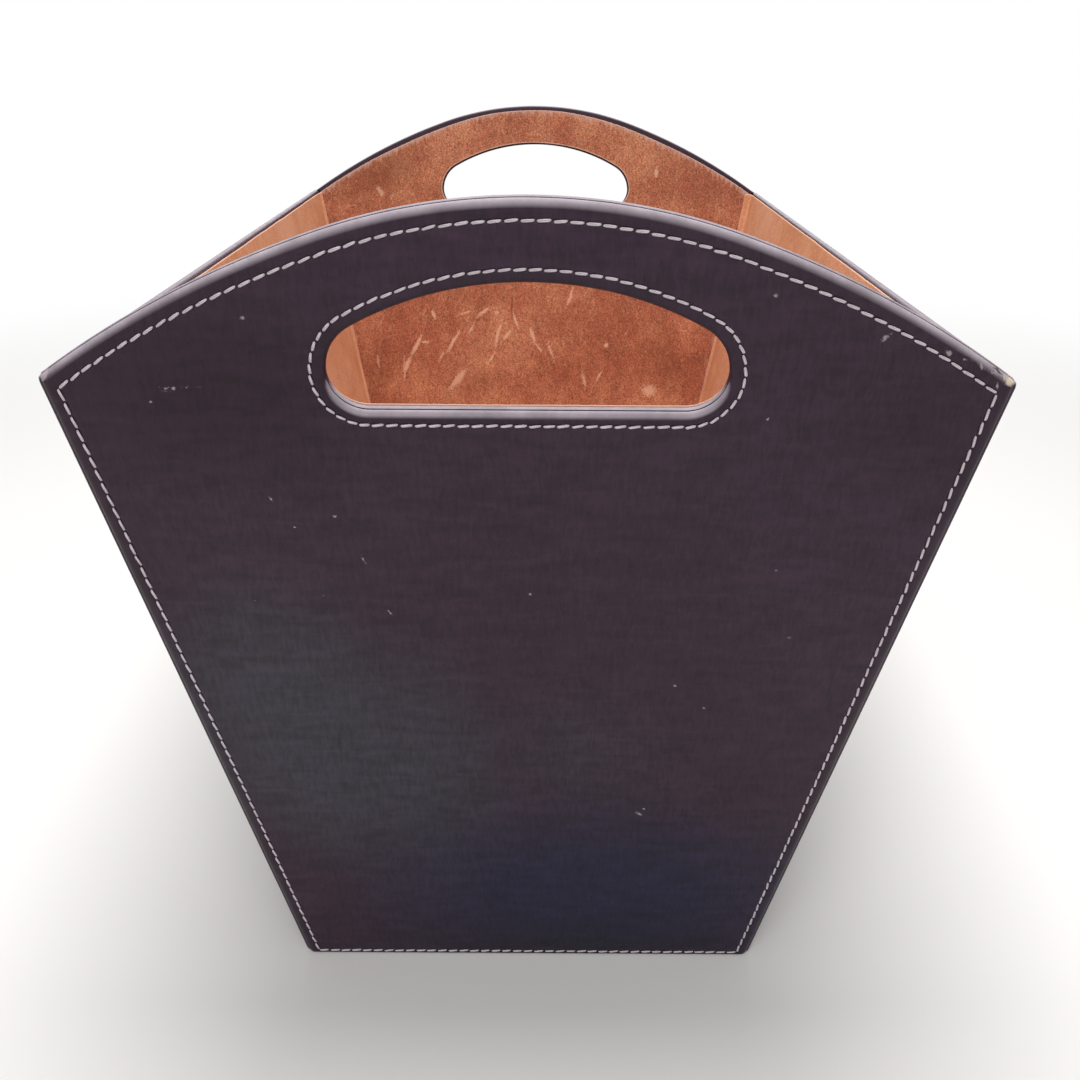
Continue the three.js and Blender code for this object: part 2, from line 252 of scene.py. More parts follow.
def hole_ring(outset, stitch):
    """A point round the grown hand hole, by the stitches from the right end of its flat bottom."""
    rounded = 2 * HOLE_END_STITCHES + HOLE_CROWN_STITCHES
    if stitch > rounded:
        reach = FOOT_CENTRE * (2 * (stitch - rounded) / HOLE_FOOT_STITCHES - 1)
        return Vector((reach, SHOULDER_LINE - HOLE_FOOT - outset))
    climbed = min(stitch, rounded - stitch)
    if climbed < FOOT_ARC_SHARE * HOLE_END_STITCHES:
        angle = math.pi / 2 * (climbed / (FOOT_ARC_SHARE * HOLE_END_STITCHES) - 1)
        point = on_arc(FOOT_CENTRE, SHOULDER_LINE, HOLE_FOOT + outset, angle)
    elif climbed < HOLE_END_STITCHES:
        share = (climbed / HOLE_END_STITCHES - FOOT_ARC_SHARE) / (1 - FOOT_ARC_SHARE)
        point = on_arc(SHOULDER_CENTRE, SHOULDER_LINE, SHOULDER_RADIUS + outset, SHOULDER_ANGLE * share)
    else:
        share = (climbed - HOLE_END_STITCHES) / (HOLE_CROWN_STITCHES / 2)
        angle = SHOULDER_ANGLE + (math.pi / 2 - SHOULDER_ANGLE) * share
        point = on_arc(0, CROWN_CENTRE, CROWN_RADIUS + outset, angle)
    return Vector((point.x if stitch < rounded / 2 else -point.x, point.y))


def lower_edge(stitch):
    """How far a point of the hand hole's outline belongs to its lower edge."""
    return min(1, max(0, (SHOULDER_LINE - hole_ring(0, stitch).y) / HOLE_FOOT))


def inset_ring(ring, roll, lip, share, offset, stitch):
    """A wall's outline, set in by a share of its edges' rolls and of its seam margins, and an offset."""
    side_lip, rim_lip, side_proud, rim_proud = roll
    proud = (1 - lip) * (1 - share)
    side = lip * side_lip + share * SIDE_SEAM_MARGIN + offset - proud * side_proud
    rim = lip * rim_lip + share * RIM_SEAM_MARGIN + offset - proud * rim_proud
    foot = FLOOR_CLEARANCE + lip * FOOT_LIP + share * FOOT_SEAM_MARGIN + offset
    return ring(side, rim, foot, stitch)


def draped(bm, columns, rows, place):
    """A grid of columns by rows of faces, with each point put where place(column, row) says."""
    made = bmesh.ops.create_grid(bm, x_segments=columns, y_segments=rows, size=1, calc_uvs=True)
    for vertex in made["verts"]:
        column = round((vertex.co.x + 1) / 2 * columns)
        row = round((vertex.co.y + 1) / 2 * rows)
        vertex.co = place(column, row)
    return made["verts"]


def facing_rows():
    """
    Rings from the turned edge to the flat face. Each has a share of the roll and of the seam margin, an
    offset, a depth, and a share of the groove.
    """
    rows = [(0, 0, offset, FACING_DEPTH - forward, 0) for offset, forward in TURNED_EDGE]
    for degrees in LIP_ANGLES:
        angle = math.radians(degrees)
        rows.append((1 - math.cos(angle), 0, 0, LIP_DEPTH * (1 - math.sin(angle)), 0))
    rows += [(0, 1, -away, 0, sunk) for away, sunk in GROOVE_HALF]
    rows += [(0, 1, away, 0, sunk) for away, sunk in reversed(GROOVE_HALF)]
    rows.append((0, 1, FLAT_BEYOND_SEAM, 0, 0))
    return rows


FACING_ROWS = facing_rows()
LIP_ROWS = range(1, len(TURNED_EDGE) + len(LIP_ANGLES))
MARGIN_ROWS = range(LIP_ROWS.stop, LIP_ROWS.stop + len(GROOVE_HALF))


def groove_depth(sunk, column):
    """The groove is deepest at the needle holes, at every stitch's end."""
    needle = math.cos(math.pi * column / POINTS_PER_STITCH) ** 2
    return GROOVE_SINK * sunk * (0.8 + 0.7 * needle)


def face_swell(x, y, seed):
    """A facing card is never quite flat: its face rises and falls by a fraction of a millimetre."""
    return FACE_SWELL * noise.noise(Vector((x / FACE_SWELL_SIZE, y / FACE_SWELL_SIZE, seed)))


def edge_light_and_wear_kind(row, kind):
    """A facing's rolled edge takes painted highlight with rubbing, or painted shade; its margin only
    painted shade.
    """
    return kind if row in LIP_ROWS else -kind if row in MARGIN_ROWS else 0


def cut_in_cells(bm, faces, cell):
    """Cuts flat faces into square cells, so that they can rise and fall a little."""
    for way in (Vector((1, 0, 0)), Vector((0, 1, 0))):
        reach = [vertex.co.dot(way) for vertex in bm.verts]
        for i in range(math.ceil(min(reach) / cell), math.floor(max(reach) / cell) + 1):
            edges = dict.fromkeys(e for f in faces for e in f.edges)
            geometry = [*faces, *edges, *dict.fromkeys(v for e in edges for v in e.verts)]
            cut = {"geom": geometry, "plane_co": i * cell * way, "plane_no": way, "dist": LEVEL_REACH}
            made = bmesh.ops.bisect_plane(bm, **cut)
            faces = [g for g in made["geom"] if isinstance(g, bmesh.types.BMFace)]


def face_toward(bm, way):
    """Turns all faces to one side of a sheet, the side that looks mostly toward a direction."""
    bmesh.ops.recalc_face_normals(bm, faces=bm.faces[:])
    if sum(face.normal.dot(way) for face in bm.faces) < 0:
        bmesh.ops.reverse_faces(bm, faces=bm.faces[:])


def facing_mesh(ring, roll, stitches, with_hole, seed):
    bm = bmesh.new()
    edge_wear_and_painted_light = bm.verts.layers.float.new("edge_wear_and_painted_light")

    def border(column, row):
        lip, share, offset, depth, sunk = FACING_ROWS[row]
        stitch = column % (stitches * POINTS_PER_STITCH) / POINTS_PER_STITCH
        point = inset_ring(ring, roll, lip, share, offset, stitch)
        return Vector((point.x, point.y, -depth - groove_depth(sunk, column)))

    def hole(column, row):
        lip, share, offset, depth, sunk = FACING_ROWS[row]
        stitch = column % (HOLE_STITCHES * POINTS_PER_STITCH) / POINTS_PER_STITCH
        proud = HOLE_PROUD + (HOLE_FOOT_PROUD - HOLE_PROUD) * lower_edge(stitch)
        outset = lip * HOLE_LIP + share * HOLE_SEAM_MARGIN + offset - (1 - lip) * (1 - share) * proud
        point = hole_ring(outset, stitch)
        return Vector((point.x, point.y, -depth - groove_depth(sunk, column)))

    verts = draped(bm, stitches * POINTS_PER_STITCH, len(FACING_ROWS) - 1, border)
    for i, vertex in enumerate(verts):
        vertex[edge_wear_and_painted_light] = edge_light_and_wear_kind(i // (stitches * POINTS_PER_STITCH + 1), BORDER)
    if with_hole:
        columns = HOLE_STITCHES * POINTS_PER_STITCH
        verts = draped(bm, columns, len(FACING_ROWS) - 1, hole)
        for i, vertex in enumerate(verts):
            vertex[edge_wear_and_painted_light] = edge_light_and_wear_kind(i // (columns + 1), HOLE_EDGE)
    bmesh.ops.remove_doubles(bm, verts=bm.verts[:], dist=MERGE_REACH)

    rings = set(bm.verts)
    inner = [e for e in bm.edges if e.is_boundary and all(abs(v.co.z) < LEVEL_REACH for v in e.verts)]
    made = bmesh.ops.triangle_fill(bm, edges=inner, use_beauty=True, normal=(0, 0, 1))
    cut_in_cells(bm, [g for g in made["geom"] if isinstance(g, bmesh.types.BMFace)], FACE_CELL)
    for vertex in bm.verts:
        if vertex not in rings:
            vertex.co.z += face_swell(vertex.co.x, vertex.co.y, seed)
    corners = [inset_ring(ring, roll, 0, 0, 0, s) for s in corner_stitches(ring)]
    edge = [v for v in bm.verts if v in rings and v[edge_wear_and_painted_light] != 0]
    near = [v for v in edge if any((v.co.xy - corner).length < CORNER_SOFTNESS for corner in corners)]
    level = {"use_axis_x": True, "use_axis_y": True, "use_axis_z": False}
    for _ in range(2):
        bmesh.ops.smooth_vert(bm, verts=near, factor=0.5, **level)
    face_toward(bm, Vector((0, 0, 1)))
    paint_light_and_wear_upward(bm, edge_wear_and_painted_light)
    return bm


def paint_light_and_wear_upward(bm, edge_wear_and_painted_light):
    """
    An edge is painted pale where it looks up, a painted highlight over some real rubbing, and darker on the
    rest of its margin, painted shade. Where the facing meets the strip behind it, the two are painted as
    one.
    """
    bm.normal_update()
    for vertex in bm.verts:
        kind = round(vertex[edge_wear_and_painted_light])
        if kind:
            pale, painted_shade, start, full = EDGE_LIGHT_AND_WEAR[abs(kind)]
            normal = vertex.normal
            meets = normal.z > 0 if kind == STRIP else normal.z < 0
            slope = normal.y / max(normal.xy.length, MERGE_REACH) if meets else normal.y
            upward = min(1, max(0, (slope - start) / (full - start)))
            # Pale where the edge looks up, painted highlight with some rubbing; darker elsewhere, painted
            # shade.
            worn = upward * upward * (3 - 2 * upward) if kind > 0 else 0
            vertex[edge_wear_and_painted_light] = pale * worn - painted_shade * (1 - worn)


def corner_stitches(ring):
    """The four corners of a wall's outline, as stitch counts."""
    foot = FOOT_STITCHES if ring is end_ring else SIDE_FOOT_STITCHES
    rim = ARCH_STITCHES if ring is end_ring else SIDE_RIM_STITCHES
    return (0, foot, foot + EDGE_STITCHES, foot + EDGE_STITCHES + rim)


def finished(bm, names, place, sheet, materials):
    """
    Puts a mesh in its place as a piece that rides on the basket, as thick as its sheet. The names are the
    piece's own, that of the solid it replaces, and that of its slot, which is not used.
    """
    name, replaced, slot = names
    bm.transform(place)
    for face in bm.faces:
        face.smooth = True
    mesh = bpy.data.meshes.new(name)
    bm.to_mesh(mesh)
    bm.free()
    for material in materials:
        mesh.materials.append(material)
    piece = bpy.data.objects.new(name, mesh)
    bpy.context.scene.collection.objects.link(piece)
    if sheet:
        solid = piece.modifiers.new("sheet", "SOLIDIFY")
        solid.thickness = sheet * MILLIMETRE
        solid.offset = -1
        solid.material_offset_rim = len(materials) - 1
    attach(piece, "root")
    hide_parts(replaced)


def linear(colour):
    """A #rrggbb colour as the linear values that a shader takes."""
    channels = [int(colour[i : i + 2], 16) / 255 for i in (1, 3, 5)]
    return [c / 12.92 if c <= 0.04045 else ((c + 0.055) / 1.055) ** 2.4 for c in channels] + [1]


def emptied(tree):
    """Empties a tree of nodes, and returns the function that adds a node to it."""
    tree.nodes.clear()

    def add(kind, inputs, **settings):
        """
        Adds a node with its settings, sets or links its inputs by name or number, and returns its
        outputs. Map Range takes inputs 1 to 2 over to 3 to 4, and Mix blends 6 and 7 by 0.
        """
        node = tree.nodes.new("ShaderNode" + kind)
        for setting, value in settings.items():
            setattr(node, setting, value)
        for socket, value in inputs.items():
            if isinstance(value, bpy.types.NodeSocket):
                tree.links.new(value, node.inputs[socket])
            else:
                node.inputs[socket].default_value = value
        return node.outputs

    return add


def per(*millimetres):
    """The scale of a pattern on Object coordinates whose parts are this many millimetres each way."""
    scales = [1 / (size * MILLIMETRE) for size in millimetres]
    return scales[0] if len(scales) == 1 else scales


def blank_material(name):
    """A new material, the function that adds its nodes, and the place that its patterns are drawn by."""
    material = bpy.data.materials.new(name)
    material.use_nodes = True
    add = emptied(material.node_tree)
    return material, add, add("TexCoord", {})["Object"]


# How far a mark on a sheet reaches to both sides of it.
MARK_DEPTH = 6.0


def wandering(add, place, millimetres, reach):
    """The place strayed by up to a reach in millimetres, so that a mark drawn on it isn't straight."""
    stray = add("TexNoise", {"Vector": place, "Scale": per(millimetres), "Detail": 3.0})["Color"]
    stray = add("VectorMath", {0: stray, 1: (0.5, 0.5, 0.5)}, operation="SUBTRACT")[0]
    stray = add("VectorMath", {0: stray, "Scale": 2 * reach * MILLIMETRE}, operation="SCALE")[0]
    return add("VectorMath", {0: place, 1: stray}, operation="ADD")[0]


def mark_mask(add, place, marks):
    """How much of a point lies on marks, each a centre, a turn, a half size in metres and a strength."""
    mask = None
    for centre, turn, size, strength in marks:
        mark = {"Vector": place, "Location": centre, "Rotation": turn, "Scale": size}
        local = add("Mapping", mark, vector_type="TEXTURE")[0]
        ball = add("TexGradient", {"Vector": local}, gradient_type="SPHERICAL")["Fac"]
        ball = add("Math", {0: ball, 1: strength}, operation="MULTIPLY")[0]
        if mask is None:
            mask = ball
        else:
            mask = add("Math", {0: mask, 1: ball}, operation="MAXIMUM")[0]
    return mask


# Leatherette: polyurethane on a woven backing, calendered smooth. To the eye it is a deep plum grey
# with a fine grain, a soft sheen, and slow drifts between a cooler and a redder tone.
LEATHERETTE_PLUM = "#2f1e2d"
LEATHERETTE_WARM = "#2d1b25"
# A deeper tone: a drift of the leatherette's own, and the painted shade in the crinkles of a corner.
LEATHERETTE_DEEP_AND_CREASE_SHADE = "#241320"
# Painted shade: the front facing is darker towards its foot.
LEATHERETTE_PAINTED_FOOT_SHADE = "#171420"
# Painted sheen: a paler grey cast over the left middle of the front facing.
LEATHERETTE_PAINTED_SHEEN = "#322e38"
# Painted reflection: a bluish cast low on the front facing.
LEATHERETTE_PAINTED_BLUE_REFLECTION = "#201d33"
# The pale of edges that look up: real rubbing and painted highlight.
LEATHERETTE_RUBBED_AND_HIGHLIT = "#a89da5"
LEATHERETTE_CHIP = "#b5a7ab"
CARD_SHOWING = "#cfc0ab"

# What handling has left on it, and the painted shade in the crinkles of a corner. Each kind of mark has the
# breadth and the reach of its straying; the size, detail and roughness of the noise that frays it; where it
# starts, where it is full, and how strong it is then; and the tone that it shows.
MARK_KINDS = {
    "chips": ((2, 0.5), (0.8, 3.0, 0.6), (0.92, 1.16, 0.55), LEATHERETTE_CHIP),
    "worn": ((3, 1.2), (1.9, 5.0, 0.75), (0.8, 1.02, 0.9), CARD_SHOWING),
    "crinkle_shade": ((3, 1.0), None, (0.1, 0.6, 0.85), LEATHERETTE_DEEP_AND_CREASE_SHADE),
}


def leatherette(name, marks, tones_and_painted_light):
    material, add, place = blank_material(name)
    drift = add("TexNoise", {"Vector": place, "Scale": per(120), "Roughness": 0.4})[0]
    drift = add("MapRange", {0: drift, 1: 0.4, 2: 0.65, 3: 0.0, 4: 0.6})[0]
    plum, warm = linear(LEATHERETTE_PLUM), linear(LEATHERETTE_WARM)
    colour = add("Mix", {0: drift, 6: plum, 7: warm}, data_type="RGBA")[2]
    # Slow drifts of tone; on the front facing some are painted light: painted sheen, painted reflection and
    # painted shade.
    for tone, patches in tones_and_painted_light.items():
        mask = mark_mask(add, place, patches)
        fade = {0: mask, 2: 0.7}
        mask = add("MapRange", fade, interpolation_type="SMOOTHSTEP")[0]
        colour = add("Mix", {0: mask, 6: colour, 7: linear(tone)}, data_type="RGBA")[2]

    upright = add("Mapping", {"Vector": place, "Scale": per(1.3, 1.3, 6)})[0]
    streaks = add("TexNoise", {"Vector": upright, "Scale": 1.0, "Detail": 4.0, "Distortion": 0.6})[0]
    level = add("Mapping", {"Vector": place, "Scale": per(16, 16, 4)})[0]
    smears = add("TexNoise", {"Vector": level, "Scale": 1.0, "Detail": 5.0, "Distortion": 0.5})[0]
    mottle = add("Math", {0: streaks, 1: smears}, operation="ADD")[0]
    mottle = add("MapRange", {0: mottle, 1: 0.75, 2: 1.25, 3: 0.7, 4: 1.3})[0]
    colour = add("VectorMath", {0: colour, "Scale": mottle}, operation="SCALE")[0]

    # Edges are painted pale where they look up, a painted highlight with some real rubbing, and the rest of
    # the edges and margins are darkened as painted shade.
    edge_wear_and_painted_light = add("Attribute", {}, attribute_name="edge_wear_and_painted_light")["Fac"]
    patchy = add("TexNoise", {"Vector": place, "Scale": per(9), "Detail": 5.0, "Roughness": 0.6})[0]
    patchy = add("MapRange", {0: patchy, 1: 0.3, 2: 0.7, 3: 0.68, 4: 1.1})[0]
    wear_and_highlight = add("Math", {0: edge_wear_and_painted_light, 1: patchy}, operation="MULTIPLY", use_clamp=True)[0]
    painted_shade = add("MapRange", {0: edge_wear_and_painted_light, 1: -1.0, 2: 0.0})[0]
    colour = add("VectorMath", {0: colour, "Scale": painted_shade}, operation="SCALE")[0]
    layers = [(wear_and_highlight, LEATHERETTE_RUBBED_AND_HIGHLIT)]

    specks = add("TexVoronoi", {"Vector": place, "Scale": per(11)})
    kept = add("MapRange", {0: specks["Color"], 1: 0.5, 2: 1.0, 3: 0.0, 4: 0.045})[0]
    speck = add("Math", {0: kept, 1: specks["Distance"]}, operation="SUBTRACT")[0]
    speck = add("MapRange", {0: speck, 1: 0.0, 2: 0.03, 3: 0.0, 4: 0.35})[0]
    layers.append((speck, LEATHERETTE_CHIP))
    for kind, spots in marks.items():
        stray, fray, (start, full, most), tone = MARK_KINDS[kind]
        mask = mark_mask(add, wandering(add, place, *stray), spots)
        if fray:
            size, detail, roughness = fray
            fray = {"Vector": place, "Scale": per(size), "Detail": detail, "Roughness": roughness}
            fray = add("TexNoise", fray)[0]
            mask = add("Math", {0: mask, 1: fray}, operation="ADD")[0]
        mask = add("MapRange", {0: mask, 1: start, 2: full, 3: 0.0, 4: most})[0]
        layers.append((mask, tone))
    for mask, tone in layers:
        colour = add("Mix", {0: mask, 6: colour, 7: linear(tone)}, data_type="RGBA")[2]

    grain = {"Vector": place, "Scale": per(0.75), "Smoothness": 0.6}
    grain = add("TexVoronoi", grain, feature="SMOOTH_F1")["Distance"]
    pores = add("TexNoise", {"Vector": place, "Scale": per(0.5), "Detail": 3.0})[0]
    height = add("Math", {0: grain, 1: pores}, operation="ADD")[0]
    fine = add("Bump", {"Strength": 0.5, "Distance": 0.00004, "Height": height})[0]
    slow = add("TexNoise", {"Vector": place, "Scale": per(26)})[0]
    normal = add("Bump", {"Strength": 0.5, "Distance": 0.0005, "Height": slow, "Normal": fine})[0]
    gloss = add("TexNoise", {"Vector": place, "Scale": per(30), "Detail": 4.0})[0]
    gloss = add("MapRange", {0: gloss, 1: 0.3, 2: 0.7, 3: 0.37, 4: 0.47})[0]
    gloss = add("Math", {0: wear_and_highlight, 1: 0.3, 2: gloss}, operation="MULTIPLY_ADD")[0]
    look = {"Base Color": colour, "Roughness": gloss, "Normal": normal, "Specular IOR Level": 0.24}
    add("OutputMaterial", {"Surface": add("BsdfPrincipled", look)[0]})
    return material


# Marks on the front facing, in its own millimetres: start, end, half width and strength. The right
# corner is crinkled, its crinkles drawn dark as painted shade, and worn through to the card, and the left
# one has a small pale tip.
FRONT_MARKS = {
    "chips": [
        ((101.2, 282.2), (104, 284.6), 1.7, 0.78),
        ((121.4, 279.4), (122.2, 278.4), 1.4, 1.0),
        ((69.4, 295.9), (70, 295.7), 1.2, 0.8),
        ((-81.4, 288.4), (-80.6, 288), 1.5, 0.75),
        ((-126, 266.2), (-76, 267), 0.8, 0.5),
        ((-118, 265.4), (-96, 265.6), 1.0, 0.45),
        ((-107.2, 266.3), (-106.8, 266.3), 1.0, 0.85),
        ((-104.8, 266.3), (-104.4, 266.3), 1.0, 0.85),
        ((-112.6, 261.9), (-112, 261.7), 1.0, 0.8),
        ((-81.6, 230.2), (-80.2, 226.6), 1.2, 0.7),
        ((-61.9, 222.4), (-60.9, 222), 1.1, 0.75),
        ((-74.9, 218.3), (-74.5, 217.9), 1.0, 0.7),
        ((-55, 208.8), (-52.7, 203.1), 1.5, 0.72),
        ((-48, 187), (-45.2, 181.5), 1.3, 0.66),
        ((0.6, 192.3), (1, 192.1), 1.3, 0.7),
        ((52, 152.7), (52.6, 152.5), 1.2, 0.75),
        ((63, 142.5), (63.6, 142.3), 1.2, 0.75),
        ((41.6, 89), (44.8, 86.5), 1.4, 0.75),
        ((44.6, 90.6), (45, 90.2), 1.1, 0.8),
        ((71.8, 257.6), (72.3, 257.4), 1.1, 0.75),
        ((81.4, 202.5), (81.9, 202.3), 1.0, 0.7),
        ((89.4, 174.6), (89.9, 174.4), 1.0, 0.7),
        ((125.6, 277.8), (128, 276.6), 0.9, 0.7),
        ((131.4, 276.4), (133.6, 272.8), 1.2, 0.75),
        ((134, 274.6), (139, 271), 1.5, 0.6),
        ((137.8, 270.4), (138.6, 267.2), 1.0, 0.9),
        ((-144.4, 269.4), (-142.2, 270.8), 2.6, 1.8),
    ],
    "worn": [
        ((141.2, 271.4), (144.4, 269.4), 3.8, 0.75),
        ((128, 282.6), (141, 274), 1.5, 0.5),
    ],
    "crinkle_shade": [
        ((124.6, 279), (129.6, 276.8), 0.5, 1.0),
        ((129.6, 276.8), (131.8, 273.4), 0.55, 1.0),
        ((135.6, 274.6), (140, 271.6), 0.5, 0.9),
        ((139.2, 268.6), (143.4, 267.4), 0.8, 1.0),
    ],
}

# Slow drifts of tone on the front facing, some of them painted light: the paler cast at the left middle is
# painted sheen, the bluish cast low down is a painted reflection, and the darkening along the foot is
# painted
# shade. Each patch: start, end, half width, and how far the tone goes over.
FRONT_TONES_AND_PAINTED_LIGHT = {
    LEATHERETTE_PAINTED_SHEEN: [
        ((-92, 164), (-62, 88), 59, 1.0),
        ((-46, 150), (-42, 56), 54, 0.75),
        ((4, 122), (30, 116), 60, 0.35),
    ],
    LEATHERETTE_PAINTED_BLUE_REFLECTION: [
        ((-22, 40), (80, 38), 72, 0.92),
    ],
    LEATHERETTE_DEEP_AND_CREASE_SHADE: [
        ((-121, 266), (-60, 262), 46, 0.7),
        ((112, 262), (126, 250), 42, 0.5),
    ],
    LEATHERETTE_PAINTED_FOOT_SHADE: [
        ((-80, 0), (120, 4), 33, 0.55),
    ],
}

walls = {
    "front": wall_place(0, FLOOR_LENGTH / 2, END_LEAN),
    "back": wall_place(math.pi, FLOOR_LENGTH / 2, END_LEAN),
    "right": wall_place(math.pi / 2, SIDE_DISTANCE, SIDE_LEAN),
    "left": wall_place(-math.pi / 2, SIDE_DISTANCE, SIDE_LEAN),
}


def marks_on(wall, depth, marks):
    """Marks given in a wall's own millimetres by start, end, half width and strength, put in place."""
    placed = []
    for start, end, half, strength in marks:
        middle = (Vector(start) + Vector(end)) / 2
        run = Vector(end) - Vector(start)
        turn = Matrix.Rotation(math.atan2(run.y, run.x), 4, "Z")
        mark = walls[wall] @ Matrix.Translation((middle.x, middle.y, -depth)) @ turn
        size = Vector((run.length / 2 + half, half, MARK_DEPTH)) * MILLIMETRE
        placed.append((mark.to_translation(), mark.decompose()[1].to_euler(), size, strength))
    return placed


plain_leatherette = leatherette("calendered leatherette", {}, {})
front_leatherette = leatherette(
    "calendered leatherette, scuffed",
    {kind: marks_on("front", 0, marks) for kind, marks in FRONT_MARKS.items()},
    {tone: marks_on("front", 0, patches) for tone, patches in FRONT_TONES_AND_PAINTED_LIGHT.items()},
)

for seed, wall in enumerate(walls):
    at_end = wall in ("front", "back")
    ring, stitches = (end_ring, END_STITCHES) if at_end else (side_ring, SIDE_STITCHES)
    bm = facing_mesh(ring, EDGE_ROLLS[wall], stitches, at_end, seed)
    finish = front_leatherette if wall == "front" else plain_leatherette
    names = (f"{wall}_facing_leatherette", f"{wall}_facing_cover", "cover_leatherette")
    finished(bm, names, walls[wall], FACING_SHEET, [finish])


# Seams: lock stitches in a pale waxed polyester thread, sewn through the facing before it was glued
# on. Each stitch is a flat oval, slanted a little, whose ends go down into the needle holes.
STITCH_SHARE = 0.88
STITCH_WIDTH = 0.95
STITCH_THICKNESS = 0.6
STITCH_RISE = 0.06
STITCH_DIP = 0.34
STITCH_SLANT = math.radians(6)
STITCH_SLANT_STRAY = math.radians(1.6)
STITCH_STRAY = 0.05
STITCH_BLUNTNESS = 0.42
TWIST_SLANT = math.radians(38)
THREAD_PALE = "#cec3ca"
# The darker lines of the twist are painted shade in the grooves between the plies, with a little soil.
THREAD_TWIST_SHADE_AND_SOIL = "#8d8289"


def stitch_mesh():
    """One stitch, a unit long and wide, along X."""
    bm = bmesh.new()
    bm.loops.layers.uv.new("along")
    upright = Matrix.Rotation(math.pi / 2, 4, "Y")
    bmesh.ops.create_uvsphere(bm, u_segments=8, v_segments=8, radius=0.5, matrix=upright, calc_uvs=True)
    for vertex in bm.verts:
        reach = abs(2 * vertex.co.x)
        vertex.co.x = math.copysign(0.5 * reach**STITCH_BLUNTNESS, vertex.co.x)
        vertex.co.z -= STITCH_DIP / STITCH_THICKNESS * reach**5
    for face in bm.faces:
        face.smooth = True
    mesh = bpy.data.meshes.new("stitch")
    bm.to_mesh(mesh)
    bm.free()
    return mesh


def waxed_thread():
    """Twisted polyester thread, waxed: pale, with the darker lines of its twist as painted shade, and a
    little soil.
    """
    material, add, place = blank_material("waxed polyester thread")
    along = add("TexCoord", {})["UV"]
    twist = add("Mapping", {"Vector": along, "Rotation": (0, 0, TWIST_SLANT), "Scale": (3, 2.2, 1)})[0]
    strands = add("TexWave", {"Vector": twist, "Scale": 0.5, "Distortion": 1.0, "Detail": 1.0})["Fac"]
    soil = add("TexNoise", {"Vector": place, "Scale": per(9), "Detail": 3.0})[0]
    tone = add("Math", {0: strands, 1: soil}, operation="MULTIPLY")[0]
    tone = add("MapRange", {0: tone, 1: 0.0, 2: 0.4, 3: 0.25, 4: 1.0})[0]
    deep, pale = linear(THREAD_TWIST_SHADE_AND_SOIL), linear(THREAD_PALE)
    colour = add("Mix", {0: tone, 6: deep, 7: pale}, data_type="RGBA")[2]
    normal = add("Bump", {"Strength": 0.5, "Distance": 0.0001, "Height": strands})[0]
    look = {"Base Color": colour, "Roughness": 0.6, "Normal": normal, "Specular IOR Level": 0.3}
    add("OutputMaterial", {"Surface": add("BsdfPrincipled", look)[0]})
    return material


def seam_mesh(stitches, point, template, dice):
    """A seam of stitches, each between two points of the line, given as stitch counts."""
    bm = bmesh.new()
    for stitch in range(stitches):
        pitch = point(stitch + 0.999) - point(stitch)
        centre = point(stitch + 0.5)
        turn = math.atan2(pitch.y, pitch.x) + STITCH_SLANT + dice.gauss(0, STITCH_SLANT_STRAY)
        length = pitch.length * STITCH_SHARE * dice.gauss(1, 0.02)
        width = STITCH_WIDTH * dice.gauss(1, 0.04)
        stray = Vector((dice.gauss(0, STITCH_STRAY), dice.gauss(0, STITCH_STRAY)))
        copy = template.copy()
        copy.transform(
            Matrix.Translation((*(centre + stray), STITCH_RISE))
            @ Matrix.Rotation(turn, 4, "Z")
            @ Matrix.Diagonal((length, width, STITCH_THICKNESS, 1))
        )
        bm.from_mesh(copy)
        bpy.data.meshes.remove(copy)
    return bm


thread = waxed_thread()
one_stitch = stitch_mesh()
dice = random.Random(5)
for wall in walls:
    at_end = wall in ("front", "back")
    ring, stitches = (end_ring, END_STITCHES) if at_end else (side_ring, SIDE_STITCHES)
    bm = seam_mesh(
        stitches, lambda s: inset_ring(ring, EDGE_ROLLS[wall], 0, 1, 0, s % stitches), one_stitch, dice
    )
    names = (f"{wall}_border_stitches", f"{wall}_border_seam", "seam_thread")
    finished(bm, names, walls[wall], 0, [thread])
    if at_end:
        bm = seam_mesh(
            HOLE_STITCHES, lambda s: hole_ring(HOLE_SEAM_MARGIN, s % HOLE_STITCHES), one_stitch, dice
        )
        names = (f"{wall}_hand_hole_stitches", f"{wall}_hand_hole_seam", "seam_thread")
        finished(bm, names, walls[wall], 0, [thread])


# Wraps: a strip of the same leatherette over the edge of each wall board, at the rim and in the hand
# holes. It is glued down inside the wall, where the lining's cut edge laps it.
WRAP_SHEET = 0.34
WRAP_FACE = 1.67
WRAP_BACK = 4.35
RIM_PUFFS = {"front": 1.0, "back": 0.2, "right": 1.0, "left": 1.0}
HOLE_FOOT_PUFF, HOLE_PUFF = 1.0, 0.3
RIM_TURN_IN = 10.0
HOLE_TURN_IN = 8.0
WRAP_SEGMENTS = 160

# The strip's section, over the edge and down inside: inset from the board's edge, depth, and share of
# the puff. Past a certain depth the strip is cut back at the corners, to clear the next wall.
WRAP_SECTION = (
    (0.06, WRAP_FACE, 0.9),
    (0.01, WRAP_FACE + 0.05, 0.95),
    (0, WRAP_FACE + 0.3, 0.98),
    (0, 2.8, 1),
    (0, 3.4, 1),
    (0.05, 3.85, 0.85),
    (0.2, 4.12, 0.5),
    (0.45, WRAP_BACK - 0.05, 0.15),
    (0.8, WRAP_BACK, 0),
    (1.5, WRAP_BACK, 0),
    (2.5, WRAP_BACK, 0),
    (4, WRAP_BACK, 0),
)
CUT_BACK_DEPTH = 3.7
END_CUT_BACK = 2.15
SIDE_STRIP_SHORT, SIDE_CUT_BACK = 3.98, 5.3


